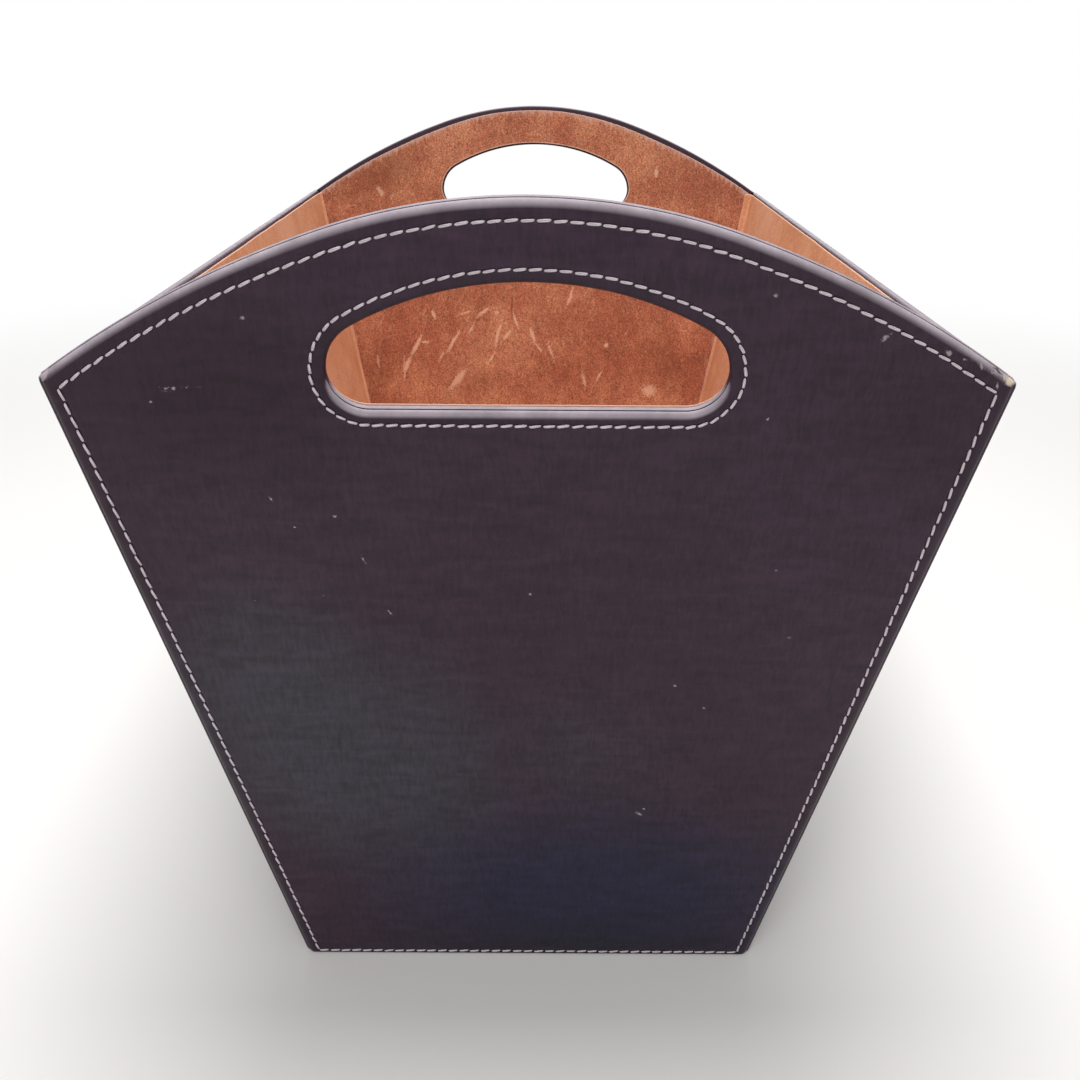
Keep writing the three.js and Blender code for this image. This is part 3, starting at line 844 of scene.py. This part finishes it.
def wrap_mesh(turn_in, columns, high, point):
    bm = bmesh.new()
    edge_wear_and_painted_light = bm.verts.layers.float.new("edge_wear_and_painted_light")
    rows = WRAP_SECTION + ((turn_in, WRAP_BACK, 0),)

    def strip(column, row):
        inset, depth, puff = rows[row]
        place = point(column / columns, inset, depth, high * puff)
        return Vector((place.x, place.y, -depth))

    for vertex in draped(bm, columns, len(rows) - 1, strip):
        vertex[edge_wear_and_painted_light] = STRIP
    bmesh.ops.remove_doubles(bm, verts=bm.verts[:], dist=MERGE_REACH)
    face_toward(bm, Vector((0, 0, -1)))
    paint_light_and_wear_upward(bm, edge_wear_and_painted_light)
    return bm


def end_rim_point(along, inset, depth, rise):
    return arch_point(0 if depth < CUT_BACK_DEPTH else END_CUT_BACK, inset - rise, along)


def side_rim_point(along, inset, depth, rise):
    height = SIDE_SLOPE - inset + rise
    reach = side_half_length(height, SIDE_STRIP_SHORT if depth < CUT_BACK_DEPTH else SIDE_CUT_BACK)
    return Vector((reach * (1 - 2 * along), height))


def hole_edge_point(along, inset, depth, rise):
    stitch = along % 1 * HOLE_STITCHES
    high = HOLE_PUFF + (HOLE_FOOT_PUFF - HOLE_PUFF) * lower_edge(stitch)
    return hole_ring(inset - high * rise, stitch)


for wall in walls:
    at_end = wall in ("front", "back")
    rim_point = end_rim_point if at_end else side_rim_point
    bm = wrap_mesh(RIM_TURN_IN, WRAP_SEGMENTS, RIM_PUFFS[wall], rim_point)
    finish = front_leatherette if wall == "front" else plain_leatherette
    names = (f"{wall}_rim_leatherette", f"{wall}_rim_wrap", "cover_leatherette")
    finished(bm, names, walls[wall], WRAP_SHEET, [finish])
    if at_end:
        bm = wrap_mesh(HOLE_TURN_IN, 2 * HOLE_STITCHES, 1, hole_edge_point)
        names = (f"{wall}_hand_hole_leatherette", f"{wall}_hand_hole_wrap", "cover_leatherette")
        finished(bm, names, walls[wall], WRAP_SHEET, [plain_leatherette])


# Linings of the end walls: flocked suede paper, cut by hand a little short of the rim, so that its
# edge is not quite true and shows the pale paper. It is scratched and mottled from years of use.
LINING_DEPTH = 5.0
LINING_SHEET = 0.36
LINING_SETBACK = 1.6
LINING_SIDE_SETBACK = 2.35
LINING_HOLE_SETBACK = 0.7
LINING_STANDS_UP = 1.6
SIDE_LINING_SETBACKS = {"right": 0.45, "left": 1.0}
BACK_LINING_DROP = 0.9
FLANK_DROP_MOST = 0.8
LINING_FOOT = 4.5
LINING_CELL = 8.0
LINING_EDGE_ROWS = ((0, 0.12), (0.3, 0.05), (0.7, 0.01), (2.5, 0), (7, 0))
LINING_RIM_FRAY = (1.0, 0.86, 0.62, 0.42, 0)
LINING_HOLE_FRAY = (1.0, 0.8, 0.3, 0, 0)
LINING_SWELL = 0.12
LINING_SWELL_SIZE = 30.0
KNIFE_WANDER, KNIFE_WANDER_LENGTH = 0.45, 34.0
KNIFE_TREMBLE, KNIFE_TREMBLE_LENGTH = 0.16, 2.3
BORDER_PITCH, HOLE_PITCH = 4.6, 4.2
SUEDE_DEEP = "#8b523d"
SUEDE_MID = "#a86c51"
SUEDE_LIGHT = "#c28a68"
# A lighter, pinker copy of these tones for the other linings: partly their own tone, and partly painted
# light, for the side linings catch more light from above than the back one.
LIT_SUEDE_DEEP = "#c08562"
LIT_SUEDE_MID = "#cc946f"
LIT_SUEDE_LIGHT = "#d3a289"
SUEDE_REDDER = "#a5604a"
SUEDE_SCRATCH = "#d8aa8f"
# The darker tone of the back lining's dark patches and crease lines; in the creases it is painted shade.
SUEDE_DARK_MARK = "#6d3622"
PAPER_EDGE = "#c8a292"
BACK_SCRATCHES = [
    ((-90, 151), (-84, 163), 2.4, 0.8),
    ((-85, 162), (-76, 178), 2.0, 0.9),
    ((-78, 172), (-71, 172), 1.1, 0.9),
    ((-61, 164), (-50, 181), 2.0, 0.8),
    ((-39, 189), (-30, 197), 2.0, 0.8),
    ((-32, 157), (-27, 166), 1.4, 0.8),
    ((-27, 166), (-22, 190), 1.7, 0.9),
    ((-21, 174), (-16, 181), 1.8, 0.9),
    ((-69, 194), (-67, 188), 2.0, 0.9),
    ((-59, 139), (-46, 155), 3.4, 0.9),
    ((-3, 183), (0, 172), 2.4, 0.8),
    ((0, 172), (6, 165), 1.4, 0.7),
    ((-54, 190), (-39, 194), 1.4, 0.6),
    ((-26, 192), (-25, 192), 3.1, 0.5),
    ((26, 211), (21, 195), 1.5, 0.8),
    ((41, 144), (47, 155), 1.4, 0.7),
    ((32, 157), (35, 139), 1.8, 0.6),
    ((47.5, 170.5), (49, 171), 2.0, 1.0),
    ((78.5, 140), (79.5, 140), 7.0, 0.8),
    ((-103, 272), (-99, 266), 2.1, 1.0),
    ((78, 285), (78, 279), 2.1, 0.8),
    ((-108, 166), (-106, 152), 1.4, 0.6),
    ((-88, 170), (-90, 138), 1.3, 0.55),
    ((-16, 196), (-10, 178), 1.4, 0.7),
    ((-46, 176), (-40, 186), 1.3, 0.7),
    ((8, 176), (14, 158), 1.7, 0.6),
    ((-66, 158), (-62, 168), 1.3, 0.6),
]
# Darker places on the back lining, as seen from inside: broad darker patches, and thin lines along creases
# whose dark is painted shade.
BACK_DARK_MARKS = [
    ((-122, 120), (-104, 172), 24, 0.42),
    ((70, 180), (112, 130), 30, 0.36),
    ((-114, 274), (-76, 294), 23, 0.66),
    ((74, 292), (110, 268), 22, 0.3),
    ((-50, 142), (-26, 148), 17, 0.45),
    ((-15, 208), (-16, 184), 0.9, 0.8),
    ((-7, 207), (-7, 198), 0.8, 0.6),
    ((47, 167), (51, 166), 0.9, 0.7),
    ((119, 281), (136, 273), 1.0, 0.7),
    ((114, 284), (120, 280), 1.5, 0.9),
]


def suede_paper(name, tones, contrast, scratches, dark_marks):
    """Rayon flock on paper: matt, mottled where it is rubbed, with pale scratches down to the paper."""
    material, add, place = blank_material(name)
    broad = add("TexNoise", {"Vector": place, "Scale": per(60), "Detail": 4.0, "Roughness": 0.6})[0]
    stroked = add("Mapping", {"Vector": place, "Scale": per(1.7, 1.7, 3.6)})[0]
    nap = {"Vector": stroked, "Scale": 1.0, "Detail": 5.0, "Roughness": 0.75, "Distortion": 0.8}
    nap = add("TexNoise", nap)[0]
    brushed = add("Mapping", {"Vector": place, "Scale": per(12, 12, 22)})[0]
    patches = add("TexNoise", {"Vector": brushed, "Scale": 1.0, "Detail": 4.0, "Distortion": 0.7})["Color"]
    parts = add("SeparateColor", {0: patches})
    tone = add("Math", {0: parts[0], 1: 0.45, 2: broad}, operation="MULTIPLY_ADD")[0]
    tone = add("Math", {0: nap, 1: 0.9, 2: tone}, operation="MULTIPLY_ADD")[0]
    tone = add("Math", {0: tone, 1: 0.075}, operation="SUBTRACT")[0]
    redder = add("MapRange", {0: parts[1], 1: 0.42, 2: 0.62, 3: 0.0, 4: 0.8 * contrast})[0]
    dark = add("MapRange", {0: tone, 1: 0.88, 2: 1.14})[0]
    pale = add("MapRange", {0: tone, 1: 1.1, 2: 1.36, 3: 0.0, 4: 0.72})[0]
    colour = add("Mix", {0: dark, 6: linear(tones[0]), 7: linear(tones[1])}, data_type="RGBA")[2]
    for mask, tone in ((redder, SUEDE_REDDER), (pale, tones[2])):
        colour = add("Mix", {0: mask, 6: colour, 7: linear(tone)}, data_type="RGBA")[2]
    fibre = add("TexNoise", {"Vector": place, "Scale": per(0.9), "Roughness": 0.8})[0]
    shade = add("MapRange", {0: fibre, 1: 0.3, 2: 0.7, 3: 1 - contrast, 4: 1 + contrast})[0]
    colour = add("VectorMath", {0: colour, "Scale": shade}, operation="SCALE")[0]

    flecks = add("TexVoronoi", {"Vector": place, "Scale": per(3.4)})
    reach = add("MapRange", {0: flecks["Color"], 1: 0.45, 2: 1.0, 3: 0.0, 4: 0.2})[0]
    fleck = add("Math", {0: reach, 1: flecks["Distance"]}, operation="SUBTRACT")[0]
    fleck = add("MapRange", {0: fleck, 1: 0.0, 2: 0.1, 3: 0.0, 4: 0.6})[0]
    layers = [(fleck, SUEDE_SCRATCH)]
    if scratches:
        slanted = add("Mapping", {"Vector": place, "Rotation": (0, math.radians(-28), 0)})[0]
        slanted = add("Mapping", {"Vector": slanted, "Scale": per(7, 20, 26)})[0]
        strokes = add("TexVoronoi", {"Vector": slanted, "Scale": 1.0})
        reach = add("MapRange", {0: strokes["Color"], 1: 0.35, 2: 1.0, 3: 0.0, 4: 0.3})[0]
        stroke = add("Math", {0: reach, 1: strokes["Distance"]}, operation="SUBTRACT")[0]
        stroke = add("Math", {0: stroke, 1: nap}, operation="MULTIPLY")[0]
        stroke = add("MapRange", {0: stroke, 1: 0.01, 2: 0.06, 3: 0.0, 4: 0.7})[0]
        mask = mark_mask(add, wandering(add, place, 11, 1.5), scratches)
        mask = add("Math", {0: mask, 1: fibre}, operation="ADD")[0]
        mask = add("MapRange", {0: mask, 1: 0.66, 2: 1.02, 3: 0.0, 4: 0.85})[0]
        layers += [(stroke, SUEDE_SCRATCH), (mask, SUEDE_SCRATCH)]
    # Darker patches, and crease lines darkened as painted shade.
    if dark_marks:
        mask = mark_mask(add, place, dark_marks)
        mask = add("MapRange", {0: mask, 1: 0.1, 2: 0.8, 3: 0.0, 4: 0.8})[0]
        layers.append((mask, SUEDE_DARK_MARK))
    frayed = add("Attribute", {}, attribute_name="edge_wear_and_painted_light")["Fac"]
    upright = add("Mapping", {"Vector": place, "Scale": per(1.5, 1.5, 16)})[0]
    hairs = add("TexNoise", {"Vector": upright, "Scale": 1.0, "Detail": 3.0, "Roughness": 0.6})[0]
    frayed = add("Math", {0: frayed, 1: hairs}, operation="ADD")[0]
    frayed = add("MapRange", {0: frayed, 1: 0.9, 2: 1.25, 3: 0.0, 4: 0.9})[0]
    layers.append((frayed, PAPER_EDGE))
    for mask, tone in layers:
        colour = add("Mix", {0: mask, 6: colour, 7: linear(tone)}, data_type="RGBA")[2]

    flock = add("Bump", {"Strength": 0.7, "Distance": 0.00008, "Height": fibre})[0]
    normal = add("Bump", {"Strength": 0.5, "Distance": 0.0003, "Height": nap, "Normal": flock})[0]
    look = {"Base Color": colour, "Roughness": 0.92, "Normal": normal, "Specular IOR Level": 0.15}
    add("OutputMaterial", {"Surface": add("BsdfPrincipled", look)[0]})
    return material


def cut_paper():
    """The cut edge of the lining: bare paper, with a little of the flock's colour in it."""
    material, add, place = blank_material("cut edge of suede paper")
    fray = add("TexNoise", {"Vector": place, "Scale": per(1.2), "Detail": 4.0})[0]
    fray = add("MapRange", {0: fray, 1: 0.45, 2: 0.75, 3: 0.0, 4: 0.7})[0]
    paper, flock = linear(PAPER_EDGE), linear(SUEDE_LIGHT)
    colour = add("Mix", {0: fray, 6: paper, 7: flock}, data_type="RGBA")[2]
    normal = add("Bump", {"Strength": 0.5, "Distance": 0.0001, "Height": fray})[0]
    look = {"Base Color": colour, "Roughness": 0.9, "Normal": normal, "Specular IOR Level": 0.2}
    add("OutputMaterial", {"Surface": add("BsdfPrincipled", look)[0]})
    return material


def knife(along, seed):
    """How far the hand-held knife strayed from its line, in millimetres, at a distance along it."""
    slow = noise.noise(Vector((along / KNIFE_WANDER_LENGTH, seed, 0)))
    fine = noise.noise(Vector((along / KNIFE_TREMBLE_LENGTH, seed, 7)))
    return KNIFE_WANDER * slow + KNIFE_TREMBLE * fine


def flank_drop(along):
    """The end linings were cut further below the rim at the flanks than at the top."""
    return FLANK_DROP_MOST * math.sin(math.pi * abs(2 * along - 1)) ** 2


def end_lining_mesh(seed, lowered):
    bm = bmesh.new()
    edge_wear_and_painted_light = bm.verts.layers.float.new("edge_wear_and_painted_light")

    def border(column, row):
        inset, lift = LINING_EDGE_ROWS[row]
        stitch = column % (END_STITCHES * POINTS_PER_STITCH) / POINTS_PER_STITCH
        along = (stitch - FOOT_STITCHES - EDGE_STITCHES) / ARCH_STITCHES
        drop = flank_drop(along) if 0 <= along <= 1 else 0
        rim = LINING_SETBACK + lowered + drop + knife(BORDER_PITCH * stitch, seed) + inset
        point = end_ring(LINING_SIDE_SETBACK + inset, rim, LINING_FOOT + inset, stitch)
        return Vector((point.x, point.y, -LINING_DEPTH - lift))

    def hole(column, row):
        inset, lift = LINING_EDGE_ROWS[row]
        stitch = column % (HOLE_STITCHES * POINTS_PER_STITCH) / POINTS_PER_STITCH
        setback = LINING_HOLE_SETBACK - LINING_STANDS_UP * lower_edge(stitch)
        point = hole_ring(setback + 0.5 * knife(HOLE_PITCH * stitch, seed + 3) + inset, stitch)
        return Vector((point.x, point.y, -LINING_DEPTH - lift))

    for stitches, edge, fray in (
        (END_STITCHES, border, LINING_RIM_FRAY),
        (HOLE_STITCHES, hole, LINING_HOLE_FRAY),
    ):
        columns = stitches * POINTS_PER_STITCH
        for i, vertex in enumerate(draped(bm, columns, len(LINING_EDGE_ROWS) - 1, edge)):
            vertex[edge_wear_and_painted_light] = fray[i // (columns + 1)]
    bmesh.ops.remove_doubles(bm, verts=bm.verts[:], dist=MERGE_REACH)
    rings = set(bm.verts)
    flat = -LINING_DEPTH - MERGE_REACH
    inner = [e for e in bm.edges if e.is_boundary and all(v.co.z > flat for v in e.verts)]
    made = bmesh.ops.triangle_fill(bm, edges=inner, use_beauty=True, normal=(0, 0, -1))
    cut_in_cells(bm, [g for g in made["geom"] if isinstance(g, bmesh.types.BMFace)], LINING_CELL)
    for vertex in bm.verts:
        if vertex not in rings:
            swell = noise.noise(vertex.co / LINING_SWELL_SIZE + Vector((0, 0, seed)))
            vertex.co.z -= LINING_SWELL * abs(swell)
    face_toward(bm, Vector((0, 0, -1)))
    return bm


def from_inside(marks):
    """The back wall's marks are given as seen from inside the basket, which is its own X turned round."""
    return [((-x0, y0), (-x1, y1), half, strength) for (x0, y0), (x1, y1), half, strength in marks]


# The lighter copy of the suede paper, for the front, side and floor linings: partly their own tone, partly
# painted light.
lit_suede_paper = suede_paper("suede paper", (LIT_SUEDE_DEEP, LIT_SUEDE_MID, LIT_SUEDE_LIGHT), 0.16, [], [])
back_suede = suede_paper(
    "suede paper, scratched",
    (SUEDE_DEEP, SUEDE_MID, SUEDE_LIGHT),
    0.56,
    marks_on("back", LINING_DEPTH, from_inside(BACK_SCRATCHES)),
    marks_on("back", LINING_DEPTH, from_inside(BACK_DARK_MARKS)),
)
paper_edge = cut_paper()
for seed, wall in enumerate(("front", "back")):
    finish = back_suede if wall == "back" else lit_suede_paper
    bm = end_lining_mesh(seed + 11, BACK_LINING_DROP if wall == "back" else 0)
    names = (f"{wall}_suede_paper", f"{wall}_wall_lining", "suede_lining")
    finished(bm, names, walls[wall], LINING_SHEET, [finish, paper_edge])


# Linings of the side walls: one sheet each, creased into both upright corners, with a narrow flap
# that laps the end lining and hides its cut edge.
# Each flap's width at the foot and at the rim, in front and behind.
FLAP_WIDTHS = {"right": ((5, 5), (-5, 4.4)), "left": ((1.3, 1.3), (5, 5))}
FLAP_LEAST = 1.3
FLAP_DEPTH = 5.66
FLAP_EDGE_LIFT = 0.12
FLAP_UNEVENNESS = 0.4
SIDE_LINING_FOOT = 4.6
SIDE_LINING_SWELL = 0.18
CORNER_FOLD = 1.0
FOLD_STEPS = 4
FLAP_STEPS = 2
PLATE_STEPS = 60
SIDE_LINING_ROWS = 48
LAST_LINING_ROW = 0.0025
KNIFE_CUT_FROM = 0.98


def side_lining_mesh(seed, setback, flaps):
    """A sheet that runs along the inside of the right-hand wall, in the row frame's millimetres."""
    bm = bmesh.new()
    edge_wear_and_painted_light = bm.verts.layers.float.new("edge_wear_and_painted_light")
    folded = FLAP_STEPS + FOLD_STEPS
    columns = FLAP_STEPS + 2 * FOLD_STEPS + PLATE_STEPS

    def sheet(column, row):
        mirrored = column > columns / 2
        step = columns - column if mirrored else column
        along = 1 - LAST_LINING_ROW if row == SIDE_LINING_ROWS - 1 else row / SIDE_LINING_ROWS
        edge = 0 if along < KNIFE_CUT_FROM else knife(7 * column + 13, seed)
        top = (SIDE_SLOPE - setback + edge) * math.cos(SIDE_LEAN) + LINING_DEPTH * math.sin(SIDE_LEAN)
        height = SIDE_LINING_FOOT + (top - SIDE_LINING_FOOT) * along
        reach = SIDE_DISTANCE - LINING_DEPTH / math.cos(SIDE_LEAN) + height * math.tan(SIDE_LEAN)
        length = FLOOR_LENGTH / 2 - FLAP_DEPTH / math.cos(END_LEAN) + height * math.tan(END_LEAN)
        if step < FLAP_STEPS:
            ragged = FLAP_UNEVENNESS * knife(height * 1.4, seed + (5 if mirrored else 2))
            low, high = flaps[mirrored]
            flap = max(FLAP_LEAST, low + (high - low) * along) + ragged
            x = reach - CORNER_FOLD - (flap - CORNER_FOLD) * (1 - step / FLAP_STEPS)
            y = length - (FLAP_EDGE_LIFT if step == 0 else 0)
        elif step <= folded:
            angle = math.pi / 2 * (step - FLAP_STEPS) / FOLD_STEPS
            x = reach - CORNER_FOLD * (1 - math.sin(angle))
            y = length - CORNER_FOLD * (1 - math.cos(angle))
        else:
            share = (step - folded) / (PLATE_STEPS / 2)
            y = (length - CORNER_FOLD) * (1 - share)
            spot = Vector((y / LINING_SWELL_SIZE, height / LINING_SWELL_SIZE, seed))
            held = min(1, 6 * share) * min(1, 8 * (1 - along))
            x = reach - held * SIDE_LINING_SWELL * abs(noise.noise(spot))
        return Vector((x, y if mirrored else -y, height))

    verts = draped(bm, columns, SIDE_LINING_ROWS, sheet)
    for vertex in verts[-columns - 1 :]:
        vertex[edge_wear_and_painted_light] = 1
    face_toward(bm, Vector((-1, 0, 0)))
    return bm


for seed, wall, turn in ((21, "right", 0), (32, "left", math.pi)):
    place = Matrix.Rotation(turn, 4, "Z") @ Matrix.Scale(MILLIMETRE, 4)
    bm = side_lining_mesh(seed, SIDE_LINING_SETBACKS[wall], FLAP_WIDTHS[wall])
    names = (f"{wall}_suede_paper", f"{wall}_wall_lining", "suede_lining")
    finished(bm, names, place, LINING_SHEET, [lit_suede_paper, paper_edge])


# Floor lining: a sheet of the same suede paper laid in last, a little loose, on the base board.
FLOOR_SHEET_GAP = 0.4
FLOOR_SHEET_THICKNESS = 0.5
FLOOR_SHEET_SUNK = 0.05
FLOOR_SHEET_RISE = 0.5
FLOOR_SHEET_COLUMNS, FLOOR_SHEET_ROWS = 36, 70

low, high = [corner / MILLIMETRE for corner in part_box("floor_lining")]
half_width = (high.x - low.x) / 2 - FLOOR_SHEET_GAP
half_length = (high.y - low.y) / 2 - FLOOR_SHEET_GAP
bm = bmesh.new()
bmesh.ops.create_grid(
    bm, x_segments=FLOOR_SHEET_COLUMNS, y_segments=FLOOR_SHEET_ROWS, size=1, calc_uvs=True
)
for vertex in bm.verts:
    across, along = vertex.co.xy
    loose = (1 - across**4) * (1 - along**4)
    rise = FLOOR_SHEET_RISE * abs(noise.noise(Vector((4 * across, 7 * along, 3)))) * loose
    vertex.co = Vector((across * half_width, along * half_length, high.z - FLOOR_SHEET_SUNK + rise))
names = ("floor_suede_paper", "floor_lining", "suede_lining")
finished(bm, names, Matrix.Scale(MILLIMETRE, 4), FLOOR_SHEET_THICKNESS, [lit_suede_paper, paper_edge])


# Carcass and facing cards: greyboard walls and a greyboard base, glued up under the leatherette, and
# a thin card in each facing. Little of them shows. The base has its own leatherette below.
BOARD_PALE = "#b59a72"
BOARD_DEEP = "#947852"
BOARD_FLAKE = 1.6
CARD_PALE = "#c8b48e"
CARD_DEEP = "#b09a72"
CARD_FLAKE = 0.9


def pressed_board(name, pale, deep, flake):
    """Board pressed from waste paper: a matt buff with darker flecks of fibre."""
    material, add, place = blank_material(name)
    fibre = add("TexNoise", {"Vector": place, "Scale": per(flake), "Detail": 6.0, "Roughness": 0.7})[0]
    tone = add("MapRange", {0: fibre, 1: 0.35, 2: 0.65})[0]
    colour = add("Mix", {0: tone, 6: linear(deep), 7: linear(pale)}, data_type="RGBA")[2]
    normal = add("Bump", {"Strength": 0.4, "Distance": 0.0001, "Height": fibre})[0]
    look = {"Base Color": colour, "Roughness": 0.9, "Normal": normal, "Specular IOR Level": 0.25}
    add("OutputMaterial", {"Surface": add("BsdfPrincipled", look)[0]})
    return material


greyboard = pressed_board("pressed greyboard", BOARD_PALE, BOARD_DEEP, BOARD_FLAKE)
facing_card = pressed_board("facing card", CARD_PALE, CARD_DEEP, CARD_FLAKE)
dressing = {f"{wall}_wall_board": greyboard for wall in walls}
dressing.update({f"{wall}_facing_card": facing_card for wall in walls})
dressing.update({"base_board": greyboard, "base_cover": plain_leatherette})
for node, material in dressing.items():
    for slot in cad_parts[node].material_slots:
        slot.material = material


# Studio: a pale floor that runs out to a white surround, and three large soft lamps, one over the
# basket, one above the camera and a low one behind. None of it belongs to the basket.
FLOOR_COLOUR = "#d8d6d4"
FLOOR_REACH = 6.0
FLOOR_FADE_START = 0.45
FLOOR_FADE_END = 1.3
SURROUND_LEVEL = 0.42

# Each lamp: where it hangs, and the width of its square face, in metres, and its power in watts.
LAMPS = {
    "overhead_softbox": ((0, 0.1, 1.45), 0.7, 20),
    "front_softbox": ((-0.12, -1.3, 1.5), 1.0, 16),
    "rear_softbox": ((0, 1.9, 0.9), 1.6, 11),
}
LAMPS_AIM = Vector((0, 0, 0.15))


def sees_surround(add):
    """Whether a ray looks at the surround, straight or by a reflection, and so finds it white."""
    rays = add("LightPath", {})
    seen = rays["Is Camera Ray"]
    for ray in ("Is Transmission Ray", "Is Glossy Ray"):
        seen = add("Math", {0: seen, 1: rays[ray]}, operation="MAXIMUM")[0]
    return seen


def studio_paper():
    """Seamless studio paper: matt, with the faintest tooth. Away from the basket it is seen to burn out."""
    material, add, place = blank_material("studio paper")
    tooth = add("TexNoise", {"Vector": place, "Scale": per(3), "Detail": 3.0})[0]
    normal = add("Bump", {"Strength": 0.1, "Distance": 0.0001, "Height": tooth})[0]
    colour = linear(FLOOR_COLOUR)
    look = {"Base Color": colour, "Roughness": 0.9, "Normal": normal, "Specular IOR Level": 0.1}
    paper = add("BsdfPrincipled", look)
    away = add("VectorMath", {0: place}, operation="LENGTH")["Value"]
    away = {0: away, 1: FLOOR_FADE_START, 2: FLOOR_FADE_END}
    away = add("MapRange", away, interpolation_type="SMOOTHSTEP")[0]
    seen = add("Math", {0: sees_surround(add), 1: away}, operation="MULTIPLY")[0]
    white = add("Emission", {"Color": (1, 1, 1, 1), "Strength": 1.0})
    shader = add("MixShader", {0: seen, 1: paper[0], 2: white[0]})
    add("OutputMaterial", {"Surface": shader[0]})
    return material


bm = bmesh.new()
bmesh.ops.create_grid(bm, x_segments=2, y_segments=2, size=FLOOR_REACH)
mesh = bpy.data.meshes.new("studio_floor")
bm.to_mesh(mesh)
bm.free()
mesh.materials.append(studio_paper())
studio_floor = bpy.data.objects.new("studio_floor", mesh)
bpy.context.scene.collection.objects.link(studio_floor)

world = bpy.data.worlds.new("studio")
world.use_nodes = True
add = emptied(world.node_tree)
unseen = (SURROUND_LEVEL, SURROUND_LEVEL, SURROUND_LEVEL, 1)
level = add("Mix", {0: sees_surround(add), 6: unseen, 7: (1, 1, 1, 1)}, data_type="RGBA")[2]
glow = add("Background", {"Color": level, "Strength": 1.0})
add("OutputWorld", {"Surface": glow[0]})
bpy.context.scene.world = world


for name, (place, width, power) in LAMPS.items():
    lamp = bpy.data.objects.new(name, bpy.data.lights.new(name, "AREA"))
    lamp.data.shape = "SQUARE"
    lamp.data.size = width
    lamp.data.energy = power
    lamp.visible_camera = False
    aim = (LAMPS_AIM - Vector(place)).to_track_quat("-Z", "Y")
    lamp.matrix_world = Matrix.Translation(place) @ aim.to_matrix().to_4x4()
    bpy.context.scene.collection.objects.link(lamp)
